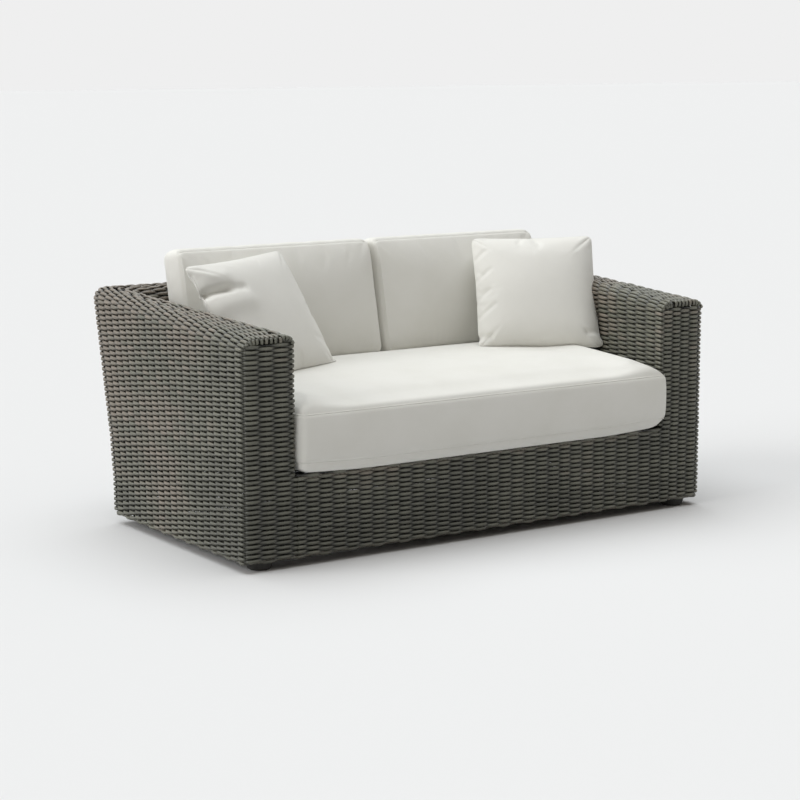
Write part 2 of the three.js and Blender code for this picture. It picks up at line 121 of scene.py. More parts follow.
def mesh_from(name: str, places: Array, faces: list[Array], smooth: list[bool]) -> Mesh:
    """Makes a mesh from vertex places and groups of faces with equal side counts.

    Args:
        name: Name of the mesh.
        places: Vertex places, one row each.
        faces: Face groups, each an array with one face per row.
        smooth: Whether each group is smooth shaded.

    Returns:
        The new mesh.
    """
    mesh = bpy.data.meshes.new(name)
    faces = [group.reshape(-1, group.shape[-1]) for group in faces]
    corners = np.concatenate([group.ravel() for group in faces]).astype(np.int32)
    sides = np.concatenate([np.full(len(group), group.shape[1]) for group in faces])
    starts = np.concatenate([[0], np.cumsum(sides)[:-1]]).astype(np.int32)
    shading = np.concatenate([np.full(len(g), s) for g, s in zip(faces, smooth)])
    mesh.vertices.add(len(places))
    mesh.vertices.foreach_set("co", places.astype(np.float32).ravel())
    mesh.loops.add(len(corners))
    mesh.loops.foreach_set("vertex_index", corners)
    mesh.polygons.add(len(starts))
    mesh.polygons.foreach_set("loop_start", starts)
    mesh.polygons.foreach_set("use_smooth", shading.astype(bool))
    mesh.update(calc_edges=True)
    mesh.validate()
    return mesh


# Finishes.


class Slot(Enum):
    """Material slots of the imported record."""

    WEAVE = "weave"
    FRAME = "frame"
    FOOT = "foot"
    BOLT = "bolt"
    CANVAS = "canvas"
    LINEN = "linen"


class Nodes:
    """A node tree that starts empty, with short calls to add and join nodes."""

    def __init__(self, tree: bpy.types.NodeTree) -> None:
        """Empties the tree."""
        self.tree = tree
        self.tree.nodes.clear()

    def add(self, kind: str, **settings: object) -> bpy.types.Node:
        """Adds a node and sets its properties."""
        node = self.tree.nodes.new(kind)
        for key, value in settings.items():
            setattr(node, key, value)
        return node

    def join(self, start: Socket, end: Socket) -> None:
        """Links two sockets."""
        self.tree.links.new(start, end)


class Graph(Nodes):
    """Node tree of one material, round a surface shader."""

    NOISE_ROUGHNESS = 0.55

    def __init__(self, name: str) -> None:
        """Starts a material with a surface shader and an output."""
        self.material = bpy.data.materials.new(name)
        self.material.use_nodes = True
        super().__init__(self.material.node_tree)
        output = self.add("ShaderNodeOutputMaterial")
        self.shader = self.add("ShaderNodeBsdfPrincipled")
        self.join(self.shader.outputs["BSDF"], output.inputs["Surface"])

    def paint(self, colour: Socket, roughness: Socket) -> None:
        """Leads a colour and a roughness to the shader."""
        self.join(colour, self.shader.inputs["Base Color"])
        self.join(roughness, self.shader.inputs["Roughness"])

    def hold(self, name: str, value: float) -> None:
        """Sets a plain number on one of the shader's own sockets."""
        self.shader.inputs[name].default_value = value

    def noise(self, source: Socket, scale: float, detail: float) -> Socket:
        """Adds a noise read at the given places and returns its value socket."""
        node = self.add("ShaderNodeTexNoise")
        node.inputs["Scale"].default_value = scale
        node.inputs["Detail"].default_value = detail
        node.inputs["Roughness"].default_value = self.NOISE_ROUGHNESS
        self.join(source, node.inputs["Vector"])
        return node.outputs["Fac"]

    def stretched(self, source: Socket, scale: tuple[float, float, float]) -> Socket:
        """Multiplies places by a scale per axis."""
        node = self.add("ShaderNodeVectorMath", operation="MULTIPLY")
        node.inputs[1].default_value = scale
        self.join(source, node.inputs[0])
        return node.outputs[0]

    def ramp(self, source: Socket, stops: list[tuple[float, Colour]]) -> Socket:
        """Turns a value into a colour between the given stops."""
        node = self.add("ShaderNodeValToRGB")
        entries = node.color_ramp.elements
        while len(entries) < len(stops):
            entries.new(0.5)
        for entry, (place, colour) in zip(entries, stops):
            entry.position = place
            entry.color = colour
        self.join(source, node.inputs["Fac"])
        return node.outputs["Color"]

    def blended(self, first: Socket, second: Socket, share: float) -> Socket:
        """Multiplies a colour by a second one, by a fixed share."""
        node = self.add("ShaderNodeMix", data_type="RGBA", blend_type="MULTIPLY")
        node.inputs[0].default_value = share
        self.join(first, node.inputs[6])
        self.join(second, node.inputs[7])
        return node.outputs[2]

    def spread(self, source: Socket, low: float, high: float) -> Socket:
        """Maps a value of 0 to 1 onto a range."""
        node = self.add("ShaderNodeMapRange")
        node.inputs["To Min"].default_value = low
        node.inputs["To Max"].default_value = high
        self.join(source, node.inputs["Value"])
        return node.outputs["Result"]

    def total(self, first: Socket, second: Socket, gain: float) -> Socket:
        """Adds the second value, times a gain, to the first."""
        node = self.add("ShaderNodeMath", operation="MULTIPLY_ADD")
        node.inputs[1].default_value = gain
        self.join(second, node.inputs[0])
        self.join(first, node.inputs[2])
        return node.outputs[0]

    def bump(self, height: Socket, depth: float, strength: float) -> None:
        """Roughens the surface by a height value of 0 to 1 that is depth metres tall."""
        node = self.add("ShaderNodeBump")
        node.inputs["Strength"].default_value = strength
        node.inputs["Distance"].default_value = depth
        self.join(height, node.inputs["Height"])
        self.join(node.outputs["Normal"], self.shader.inputs["Normal"])

    def places(self) -> Socket:
        """Places in the piece's own space, in metres."""
        return self.add("ShaderNodeTexCoord").outputs["Object"]

    def value(self, name: str) -> Socket:
        """A number that the mesh carries per vertex."""
        return self.add("ShaderNodeAttribute", attribute_name=name).outputs["Fac"]

    def vector(self, name: str) -> Socket:
        """A vector that the mesh carries per vertex."""
        return self.add("ShaderNodeAttribute", attribute_name=name).outputs["Vector"]


@dataclass(frozen=True)
class StrandFinish:
    """Weathered grey-brown strand with a fine grain along its length, and painted shade in the
    weave's recesses.
    """

    name: str = "weathered_strand"
    warm: Colour = linear(134, 125, 113)
    green: Colour = linear(112, 112, 99)
    dark: Colour = linear(88, 88, 77)
    shaded_recess: Colour = (0.08, 0.08, 0.07, 1.0)
    roughness: float = 0.38
    grain_along: float = 14.0
    grain_around: float = 5.0
    grain_depth: float = 0.0005
    grain_strength: float = 0.6
    mottle_scale: tuple[float, float, float] = (22.0, 0.6, 0.6)
    patch_scale: float = 3.2
    patch_tone: float = 0.75
    specular: float = 0.65

    def make(self) -> Material:
        """Builds the material."""
        graph = Graph(self.name)
        own = graph.vector("strand")
        along, around = self.grain_along, self.grain_around
        grain = graph.noise(graph.stretched(own, (along, around, around)), 1.0, 4.0)
        mottle = graph.noise(graph.stretched(own, self.mottle_scale), 1.0, 2.0)
        patches = graph.noise(graph.places(), self.patch_scale, 2.0)
        patches = graph.spread(patches, -self.patch_tone, self.patch_tone)
        tone = graph.ramp(
            graph.total(graph.value("tone"), patches, 1.0),
            [(0.0, self.dark), (0.4, self.green), (0.75, self.warm), (1.0, self.warm)],
        )
        streak = graph.ramp(grain, [(0.3, (0.78, 0.77, 0.75, 1)), (0.7, (1.1, 1.1, 1.1, 1))])
        patch = graph.ramp(mottle, [(0.35, (0.84, 0.84, 0.83, 1)), (0.65, (1.08, 1.08, 1.08, 1))])
        # Painted shade: the colour falls towards the dark recess colour where the strands dip
        # behind the stakes, by the lit share that the mesh carries, and keeps its full value on the
        # crests.
        painted_recess_shade = graph.ramp(
            graph.value("lit_share"),
            [(0.0, self.shaded_recess), (0.55, (0.36, 0.36, 0.35, 1)), (1.0, (1, 1, 1, 1))],
        )
        colour = graph.blended(graph.blended(tone, streak, 0.8), patch, 0.7)
        roughness = graph.spread(grain, self.roughness - 0.08, self.roughness + 0.12)
        graph.paint(graph.blended(colour, painted_recess_shade, 1.0), roughness)
        graph.hold("Specular IOR Level", self.specular)
        graph.bump(grain, self.grain_depth, self.grain_strength)
        return graph.material


@dataclass(frozen=True)
class CoatFinish:
    """Powder coat on metal tube: fine orange peel with rubbed lighter patches."""

    name: str = "powder_coat"
    colour: Colour = linear(70, 66, 60)
    worn: Colour = linear(98, 93, 85)
    roughness: float = 0.5

    def make(self) -> Material:
        """Builds the material."""
        graph = Graph(self.name)
        places = graph.places()
        peel = graph.noise(places, 900.0, 2.0)
        rub = graph.noise(places, 9.0, 5.0)
        graph.paint(
            graph.ramp(rub, [(0.45, self.colour), (0.8, self.worn)]),
            graph.spread(rub, self.roughness - 0.1, self.roughness + 0.15),
        )
        graph.bump(peel, 0.0002, 0.5)
        return graph.material


@dataclass(frozen=True)
class MouldedFinish:
    """Dark moulded plastic of the feet, with a spark-eroded grain and scuffs."""

    name: str = "moulded_plastic"
    colour: Colour = linear(38, 37, 34)
    scuff: Colour = linear(66, 64, 60)
    roughness: float = 0.55

    def make(self) -> Material:
        """Builds the material."""
        graph = Graph(self.name)
        places = graph.places()
        grain = graph.noise(places, 1400.0, 2.0)
        scuffs = graph.noise(graph.stretched(places, (30.0, 30.0, 160.0)), 1.0, 4.0)
        graph.paint(
            graph.ramp(scuffs, [(0.5, self.colour), (0.85, self.scuff)]),
            graph.spread(scuffs, self.roughness - 0.05, self.roughness + 0.2),
        )
        graph.bump(grain, 0.00015, 0.6)
        return graph.material


@dataclass(frozen=True)
class ZincFinish:
    """Zinc-plated steel of the foot bolts, with turning marks and dull spots."""

    name: str = "zinc_steel"
    bright: Colour = linear(178, 178, 174)
    dull: Colour = linear(130, 131, 128)

    def make(self) -> Material:
        """Builds the material."""
        graph = Graph(self.name)
        places = graph.places()
        spots = graph.noise(places, 260.0, 4.0)
        marks = graph.noise(graph.stretched(places, (90.0, 90.0, 2400.0)), 1.0, 2.0)
        graph.paint(
            graph.ramp(spots, [(0.35, self.dull), (0.6, self.bright)]),
            graph.spread(spots, 0.28, 0.5),
        )
        graph.hold("Metallic", 1.0)
        graph.bump(marks, 0.0001, 0.4)
        return graph.material


@dataclass(frozen=True)
class ClothFinish:
    """Woven outdoor cloth: crossing threads, slubs and a faint uneven tone."""

    name: str
    colour: Colour
    shade: Colour
    thread: float = 0.0011
    relief: float = 0.0003
    slub: float = 0.5
    fuzz: float = 0.25

    def make(self) -> Material:
        """Builds the material."""
        graph = Graph(self.name)
        places = graph.places()
        turns = 2.0 * math.pi / self.thread
        waved = graph.add("ShaderNodeVectorMath", operation="SINE")
        graph.join(graph.stretched(places, (turns, turns, turns)), waved.inputs[0])
        woven = graph.add("ShaderNodeVectorMath", operation="DOT_PRODUCT")
        woven.inputs[1].default_value = (0.33, 0.33, 0.33)
        graph.join(waved.outputs[0], woven.inputs[0])
        threads = graph.spread(woven.outputs["Value"], 0.5, 1.0)
        slubs = graph.noise(graph.stretched(places, (160.0, 160.0, 900.0)), 1.0, 3.0)
        cross_slubs = graph.noise(graph.stretched(places, (900.0, 160.0, 160.0)), 1.0, 3.0)
        cloud = graph.noise(places, 7.0, 4.0)
        tone = graph.total(graph.total(threads, slubs, self.slub), cross_slubs, self.slub)
        graph.join(
            graph.blended(
                graph.ramp(cloud, [(0.3, self.shade), (0.62, self.colour)]),
                graph.ramp(tone, [(0.55, (0.95, 0.95, 0.94, 1)), (1.0, (1, 1, 1, 1))]),
                0.8,
            ),
            graph.shader.inputs["Base Color"],
        )
        graph.hold("Roughness", 0.92)
        graph.hold("Specular IOR Level", 0.2)
        graph.hold("Sheen Weight", self.fuzz)
        graph.hold("Sheen Roughness", 0.6)
        graph.bump(tone, self.relief, 0.7)
        return graph.material


@dataclass(frozen=True)
class Finishes:
    """All finishes of the sofa, made once."""

    strand: Material = field(default_factory=lambda: StrandFinish().make())
    coat: Material = field(default_factory=lambda: CoatFinish().make())
    foot: Material = field(default_factory=lambda: MouldedFinish().make())
    bolt: Material = field(default_factory=lambda: ZincFinish().make())
    canvas: Material = field(
        default_factory=lambda: ClothFinish(
            "canvas_cloth", linear(233, 232, 226), linear(229, 228, 221)
        ).make()
    )
    linen: Material = field(
        default_factory=lambda: ClothFinish(
            "linen_cloth", linear(233, 232, 226), linear(229, 228, 222), 0.0014, 0.0004, 0.8
        ).make()
    )


# Woven walls.


@dataclass(frozen=True)
class Corner:
    """A turn of a weaving course in plan: place, rounding and the stake that stands there."""

    x: float
    y: float
    radius: float
    stake: float


@dataclass
class Course:
    """Sampled line of one weaving row in plan, with its outward direction and stake count."""

    phase: Array
    x: Array
    y: Array
    out: Array


@dataclass(frozen=True)
class Shell:
    """Outline of the woven walls in metres, measured from the front plane and the floor."""

    front: float
    half_width: float = 0.845
    floor_gap: float = 0.026
    deck: float = 0.260
    front_top: float = 0.668
    top_slope: float = 0.0631
    arm_front_width: float = 0.1755
    arm_taper: float = 0.083
    depth: float = 0.935
    crease_drop: float = 0.024
    rear_heights: tuple[float, ...] = (0.026, 0.1312, 0.2728, 0.727)
    rear_places: tuple[float, ...] = (0.818, 0.820, 0.838, 0.938)
    back_top: float = 0.727
    back_place: float = 0.841
    back_slope: float = 0.22646
    outer_radius: float = 0.045
    rear_radius: float = 0.030
    inner_radius: float = 0.035
    front_corner: float = 0.028
    front_inner_corner: float = 0.013
    rear_corner: float = 0.009
    heel: float = 0.022
    low_edge: float = 0.012
    inner_corner: float = 0.045

    def top_at(self, y: Array) -> Array:
        """Height of the flat top of the wall."""
        return self.front_top + self.top_slope * y

    def inner_at(self, y: Array) -> Array:
        """Distance of an arm's inner face from the middle."""
        return self.half_width - self.arm_front_width + self.arm_taper * y / self.depth

    def back_at(self, z: Array) -> Array:
        """Depth of the back's inner face."""
        return self.back_place - self.back_slope * (self.back_top - z)

    def rear_at(self, z: Array) -> Array:
        """Depth of the rear face, with its rounded heel."""
        under = np.clip((self.floor_gap + self.heel - z) / self.heel, 0.0, 1.0)
        drawn = self.heel * (1.0 - np.sqrt(1.0 - under * under))
        return np.interp(z, self.rear_heights, self.rear_places) - drawn

    def tucked(self, z: float) -> float:
        """How far the rounded lower edge has drawn in at a height."""
        under = min(max((self.floor_gap + self.low_edge - z) / self.low_edge, 0.0), 1.0)
        return self.low_edge * (1.0 - math.sqrt(1.0 - under * under))

    def row_height(self, share: float, y: Array) -> Array:
        """Height of a row that lies at a share of the way from the floor edge to the crease."""
        return self.floor_gap + (self.top_at(y) - self.crease_drop - self.floor_gap) * share

    def settle(self, share: float, place: Callable[[float], float]) -> float:
        """Depth at which a row meets a leaning face."""
        y = self.depth
        for _ in range(5):
            y = float(place(self.row_height(share, y)))
        return y

    def rise(self, radius: float, z: Array, y: Array) -> Array:
        """Sine of how far the rounded top edge has turned at a height."""
        return np.clip((z - self.top_at(y) + radius) / radius, 0.0, 1.0)

    def inset(self, radius: float, z: Array, y: Array) -> Array:
        """How far the rounded top edge has drawn in at a height."""
        turned = self.rise(radius, z, y)
        return radius * (1.0 - np.sqrt(1.0 - turned * turned))


@dataclass(frozen=True)
class StakePlan:
    """Stake numbers at the corners of the walls."""

    left_front: float = -0.5
    left_rear: int = 20
    right_rear: int = 56
    right_front: float = 76.0
    right_inner: float = 76.0 + 14.0 / 3.0
    inner_right_back: int = 96
    inner_left_back: int = 128
    left_inner: float = 147.5 - 10.0 / 3.0
    full_round: float = 147.5
    apron_end: float = 113.5 - 10.0 / 3.0
    low_round: float = 113.5


@dataclass(frozen=True)
class Twist:
    """Two strands laid round each other: their throw, radius, and length of a full turn."""

    throw: float
    radius: float
    turn: float


class StrandBatch:
    """Collects round strands and turns them into one mesh."""

    SIDES = 6

    def __init__(self, name: str) -> None:
        """Starts an empty batch."""
        self.name = name
        self.places: list[Array] = []
        self.quads: list[Array] = []
        self.caps: list[Array] = []
        self.tones: list[Array] = []
        self.shades: list[Array] = []
        self.owns: list[Array] = []
        self.count = 0

    def add(
        self,
        line: Array,
        along: Array,
        out: Array,
        tall: Array | float,
        deep: float,
        tone: Array | float,
        shade: Array | float,
        start: float,
    ) -> None:
        """Adds one strand.

        Args:
            line: Centre line, one row per sample.
            along: Direction of the strand at each sample.
            out: Direction away from the wall at each sample.
            tall: Half the strand's height along the wall.
            deep: Half the strand's depth through the wall.
            tone: Tone of the strand from 0 to 1, with painted shade towards the front and the
                bottom.
            shade: Painted shade of the strand, the share of its colour that shows, from 0 in the
                shaded recesses behind the stakes to 1 on the crests.
            start: Length along the strand at the first sample.
        """
        samples = len(line)
        across = unit(np.cross(out, along))
        outward = unit(np.cross(along, across))
        angle = np.arange(self.SIDES) * (2.0 * math.pi / self.SIDES)
        tall = np.broadcast_to(np.asarray(tall, float), (samples,))
        ring = (
            line[:, None, :]
            + across[:, None, :] * (tall[:, None] * np.cos(angle))[..., None]
            + outward[:, None, :] * (deep * np.sin(angle))[..., None]
        )
        ids = self.count + np.arange(samples * self.SIDES).reshape(samples, self.SIDES)
        turned = np.roll(ids, -1, axis=1)
        quads = np.stack([ids[:-1], turned[:-1], turned[1:], ids[1:]], axis=-1)
        self.places.append(ring.reshape(-1, 3))
        self.quads.append(quads.reshape(-1, 4))
        self.caps.append(np.stack([ids[0][::-1], ids[-1]]))
        steps = np.linalg.norm(np.diff(line, axis=0), axis=1)
        length = start + np.concatenate([[0.0], np.cumsum(steps)])
        own = np.stack(
            [
                np.repeat(length, self.SIDES),
                np.tile(np.cos(angle), samples),
                np.tile(np.sin(angle), samples),
            ],
            axis=-1,
        )
        tone = np.broadcast_to(np.asarray(tone, float), (samples,))
        shade = np.broadcast_to(np.asarray(shade, float), (samples,))
        self.tones.append(np.repeat(tone, self.SIDES))
        self.shades.append(np.repeat(shade, self.SIDES))
        self.owns.append(own)
        self.count += samples * self.SIDES

    def build(self, material: Material) -> Piece:
        """Makes the object of all strands added."""
        mesh = mesh_from(
            self.name,
            np.concatenate(self.places),
            [np.concatenate(self.quads), np.concatenate(self.caps)],
            [True, False],
        )
        for name, kind, key, values in (
            ("tone", "FLOAT", "value", self.tones),
            ("lit_share", "FLOAT", "value", self.shades),
            ("strand", "FLOAT_VECTOR", "vector", self.owns),
        ):
            data = mesh.attributes.new(name, kind, "POINT").data
            data.foreach_set(key, np.concatenate(values).astype(np.float32).ravel())
        mesh.materials.append(material)
        return new_object(self.name, mesh)


def rounded_course(corners: list[Corner], closed: bool, step: float) -> Course:
    """Samples a plan line with rounded corners at even shares between its stakes.

    Args:
        corners: Corners in order; the outward side is on the left.
        closed: Whether the line returns to its first corner; the last corner then only
            gives the stake number of a full round.
        step: Stake spacings between samples.

    Returns:
        The sampled course.
    """
    arc_steps = 8
    turning = corners[:-1] if closed else corners
    plan = np.array([(corner.x, corner.y) for corner in turning])
    count = len(turning)
    points: list[Array] = []
    outs: list[Array] = []
    middles: list[int] = []
    least_turn = 0.02
    for i, corner in enumerate(turning):
        open_end = not closed and i in (0, count - 1)
        before = unit(plan[i] - plan[i - 1]) if not (open_end and i == 0) else None
        after = unit(plan[(i + 1) % count] - plan[i]) if not (open_end and i > 0) else None
        arrive = before if before is not None else after
        leave = after if after is not None else before
        left = np.array([-arrive[1], arrive[0]])
        turn = arrive[0] * leave[1] - arrive[1] * leave[0]
        angle = math.acos(float(np.clip(arrive @ leave, -1.0, 1.0)))
        if open_end or corner.radius <= 0.0 or angle < least_turn:
            middles.append(len(points))
            points.append(plan[i])
            outs.append(left)
            continue
        side = 1.0 if turn > 0 else -1.0
        reach = corner.radius * math.tan(angle / 2.0)
        centre = plan[i] - arrive * reach + side * left * corner.radius
        middles.append(len(points) + arc_steps // 2)
        for k in range(arc_steps + 1):
            swing = side * angle * k / arc_steps
            sin, cos = math.sin(swing), math.cos(swing)
            out = np.array([left[0] * cos - left[1] * sin, left[0] * sin + left[1] * cos])
            points.append(centre - side * out * corner.radius)
            outs.append(out)
    line, normal = np.array(points), np.array(outs)
    if closed:
        first = middles[0]
        line = np.concatenate([line[first:], line[: first + 1]])
        normal = np.concatenate([normal[first:], normal[: first + 1]])
        middles = [m - first for m in middles] + [len(line) - 1]
    length = np.concatenate([[0.0], np.cumsum(np.linalg.norm(np.diff(line, axis=0), axis=1))])
    stakes = np.array([corner.stake for corner in corners])
    samples = int(round((stakes[-1] - stakes[0]) / step))
    phase = stakes[0] + np.arange(samples + 1) * step
    travelled = np.interp(phase, stakes, length[middles])
    x, y = (np.interp(travelled, length, line[:, axis]) for axis in (0, 1))
    out = unit(np.stack([np.interp(travelled, length, normal[:, a]) for a in (0, 1)], axis=-1))
    return Course(phase, x, y, out)


@dataclass
class WovenWalls:
    """Plain weave of round strands over upright stakes, all round the arms, back and apron."""

    shell: Shell
    stakes: StakePlan = field(default_factory=StakePlan)
    rows: int = 88
    deck_row: int = 34
    starter_rows: int = 3
    cap_rows: int = 7
    extra_rows: int = 11
    side_pitch: float = 0.0074
    back_pitch: float = 0.00797
    wave: float = 0.0050
    squareness: float = 1.3
    level: float = 0.0081
    half_tall: float = 0.0043
    half_deep: float = 0.0035
    stake_radius: float = 0.0024
    samples_per_stake: int = 6
    turn_radius: float = 0.009
    fringe: float = 0.018
    shake: float = 0.00035
    corner_growth: float = 0.4
    corner_closing: float = 0.6
    corner_push: float = 0.0045
    corner_reach: float = 0.45
    crest_growth: float = 0.2
    tight_pitch: float = 0.0070
    # Painted shade in the strand tone: darker and greener towards the front, darker towards the
    # bottom.
    depth_shade_tone: float = 0.15
    depth_middle: float = 0.38
    depth_reach: float = 0.25
    height_shade_tone: float = 0.20
    height_middle: float = 0.48
    height_reach: float = 0.25
    end_swing: float = 0.48
    end_start: float = 0.2
    swell_shake: float = 0.07
    bulge_shake: float = 0.0005
    stray_shake: float = 0.0018
    tone_middle: float = 0.5
    tone_shake: float = 0.09
    tone_run: tuple[int, int] = (14, 60)
    widest: float = 0.25
    crest_floor: float = -0.25
    upright_depth: float = 0.3
    front_fade: float = 0.1
    anchor_rows: int = 3
    apron_numbers: int = 1000
    fringe_gap: float = 0.003
    flat_tuck: float = 0.009
    shortest_row: float = 0.06
    stake_tone: float = 0.35
    # Stakes carry painted shade: only a low share of their colour shows, as they stand in the
    # recesses.
    stake_lit_share: float = 0.2
    arm_crossing: float = 0.040
    least_crossing: float = 0.012
    floor_twist: Twist = Twist(0.0020, 0.0036, 0.024)
    apron_twist: Twist = Twist(0.0022, 0.0030, 0.030)
    twist_step: float = 0.0045
    border_share: float = 0.004
    border_rise: float = 0.0058
    border_depth: float = 0.0064
    rail_overlap: float = 0.006
    rail_depth: float = 0.0072
    rail_drop: float = 0.0045
    row_offset: float = 3.1
    stake_spacing: float = 0.045
    stake_offset: float = 0.37

    def __post_init__(self) -> None:
        """Draws the unevenness of rows and stakes once."""
        draw = np.random.default_rng(SEED)
        lines = self.rows + 2 * self.cap_rows + self.extra_rows + 4
        columns = int(self.stakes.full_round) + 2
        self.lift = draw.normal(0.0, self.shake, (lines, columns))
        self.swell = 1.0 + draw.normal(0.0, self.swell_shake, (lines, columns))
        self.bulge = draw.normal(0.0, self.bulge_shake, columns)
        self.stray = draw.normal(0.0, self.stray_shake, columns)
        self.tone = np.zeros((lines, columns))
        for row in range(lines):
            at = 0
            while at < columns:
                span = int(draw.integers(*self.tone_run))
                self.tone[row, at : at + span] = draw.normal(self.tone_middle, self.tone_shake)
                at += span
        self.batches: dict[str, StrandBatch] = {}
        self.nodes: dict[int, dict[float, Array]] = {}

    def batch(self, name: str) -> StrandBatch:
        """The batch of one wall panel."""
        return self.batches.setdefault(name, StrandBatch(name))

    def between(self, table: Array, phase: Array) -> Array:
        """Reads a per-stake table between the stakes, smoothly."""
        columns = table.shape[-1] - 1
        low = np.floor(phase).astype(int)
        share = eased(phase - low)
        return table[low % columns] * (1.0 - share) + table[(low + 1) % columns] * share

    def wall_corners(self, share: float, round_seat: bool) -> list[Corner]:
        """Corners of one row of the walls.

        Args:
            share: Place of the row between the floor edge and the crease.
            round_seat: Whether the row runs round the seat well rather than over the apron.

        Returns:
            The corners, starting and ending at the left arm's front outer corner.
        """
        s, n = self.shell, self.stakes
        front_z = float(s.row_height(share, 0.0))
        rear_y = s.settle(share, s.rear_at)
        rear_z = float(s.row_height(share, rear_y))
        low = s.tucked(front_z)
        side_front = s.half_width - low - float(s.inset(s.outer_radius, front_z, 0.0))
        side_rear = s.half_width - low - float(s.inset(s.outer_radius, rear_z, rear_y))
        rear = rear_y - float(s.inset(s.rear_radius, rear_z, rear_y))
        corners = [
            Corner(-side_front, low, s.front_corner, n.left_front),
            Corner(-side_rear, rear, s.rear_corner, n.left_rear),
            Corner(side_rear, rear, s.rear_corner, n.right_rear),
            Corner(side_front, low, s.front_corner, n.right_front),
        ]
        inner_front = float(s.inner_at(0.0) + s.inset(s.inner_radius, front_z, 0.0))
        if not round_seat:
            return corners + [
                Corner(inner_front, low, 0.0, n.right_inner),
                Corner(-inner_front, low, 0.0, n.apron_end),
                Corner(-side_front, low, s.front_corner, n.low_round),
            ]
        back_y = s.settle(share, s.back_at)
        back_z = float(s.row_height(share, back_y))
        drawn = float(s.inset(s.inner_radius, back_z, back_y))
        inner_back = float(s.inner_at(back_y)) + drawn
        return corners + [
            Corner(inner_front, 0.0, s.front_inner_corner, n.right_inner),
            Corner(inner_back, back_y + drawn, s.inner_corner, n.inner_right_back),
            Corner(-inner_back, back_y + drawn, s.inner_corner, n.inner_left_back),
            Corner(-inner_front, 0.0, s.front_inner_corner, n.left_inner),
            Corner(-side_front, 0.0, s.front_corner, n.full_round),
        ]

    def wall_surface(self, course: Course, share: float) -> tuple[Array, Array]:
        """Nominal wall places and outward directions along a row.

        Args:
            course: The row in plan.
            share: Place of the row between the floor edge and the crease.

        Returns:
            Places and outward directions.
        """
        s = self.shell
        z = s.row_height(share, course.y)
        facing = course.out[:, 1]
        rear_slope = (s.rear_at(z + 0.01) - s.rear_at(z - 0.01)) / 0.02
        slope = np.where(facing > 0, rear_slope, s.back_slope)
        slope = np.where(course.y < self.upright_depth, 0.0, slope)
        out = unit(np.stack([course.out[:, 0], facing, -slope * facing], axis=-1))
        outer = course.phase <= self.stakes.right_front
        radius = np.where(outer, s.outer_radius, s.inner_radius)
        turned = s.rise(radius, z, course.y)
        near_front = np.clip(1.0 - course.y / self.front_fade, 0.0, 1.0)
        turned = turned * (1.0 - near_front * np.clip(-facing, 0.0, 1.0))
        out = unit(out * np.sqrt(1.0 - turned**2)[:, None] + UP * turned[:, None])
        return np.stack([course.x, course.y, z], axis=-1), out

    def lay(
        self,
        row: int,
        phase: Array,
        surface: Array,
        out: Array,
        panels: Panels,
        closed: bool = False,
        sink: Array | float = 0.0,
        widen: Array | float = 0.0,
    ) -> None:
        """Weaves one strand along a surface line and shares it out over the panels.

        Args:
            row: Line of the unevenness tables.
            phase: Stake count at each sample.
            surface: Nominal surface places.
            out: Outward directions.
            panels: Panel names with the stake numbers where each starts and ends.
            closed: Whether the strand returns to its start.
            sink: Extra depth below the surface.
            widen: Share by which the strand is thicker along the wall.
        """
        along = directions(surface, closed)
        across = unit(np.cross(out, along))
        lift = self.between(self.lift[row], phase)
        swell = self.between(self.swell[row], phase)
        stray = self.between(self.stray, phase)
        bulge = self.between(self.bulge, phase)
        if closed:
            from_join = np.clip(np.minimum(phase - phase[0], phase[-1] - phase), 0.0, 1.0)
            lift, stray, bulge = lift * from_join, stray * from_join, bulge * from_join
        swing = np.cos(math.pi * (phase + row))
        crest = np.tanh(self.squareness * swing) / math.tanh(self.squareness)
        depth = self.wave * swell * crest + bulge - self.level - sink
        line = surface + out * depth[:, None] + across * lift[:, None] + along * stray[:, None]
        line[:, 1] += self.shell.front
        run = directions(line, closed)
        tall = self.half_tall * (0.96 + 0.06 * swell) * (1.0 + widen)
        tall = tall * (1.0 + self.crest_growth * np.maximum(crest, self.crest_floor))
        # Painted shade: the strand darkens where it dips behind the stakes and keeps its full
        # colour on the crests.
        lit_share = 0.5 + 0.5 * crest
        tone = self.tone[row][np.floor(phase + 0.5).astype(int) % self.tone.shape[1]]
        # Painted shade: the tone drops towards the front, where it also turns greener, and towards
        # the bottom.
        depth_shade = np.clip((surface[:, 1] - self.depth_middle) / self.depth_reach, -1.0, 1.0)
        height = np.clip((surface[:, 2] - self.height_middle) / self.height_reach, -1.0, 1.0)
        tone = tone + self.depth_shade_tone * depth_shade + self.height_shade_tone * height
        for name, start, end in panels:
            part = np.nonzero((phase >= start - 1e-6) & (phase <= end + 1e-6))[0]
            if len(part) < 3:
                continue
            self.batch(name).add(
                line[part],
                run[part],
                out[part],
                tall[part],
                self.half_deep,
                tone[part],
                lit_share[part],
                float(row) * self.row_offset + start * self.stake_spacing,
            )

    def keep_stakes(self, order: float, phase: Array, surface: Array, out: Array) -> None:
        """Remembers where the stakes pass a row."""
        whole = np.nonzero(np.abs(phase - np.round(phase)) < 1e-6)[0]
        for i in whole:
            number = int(round(phase[i]))
            place = surface[i] - out[i] * self.level
            self.nodes.setdefault(number, {})[order] = np.concatenate([place, out[i]])

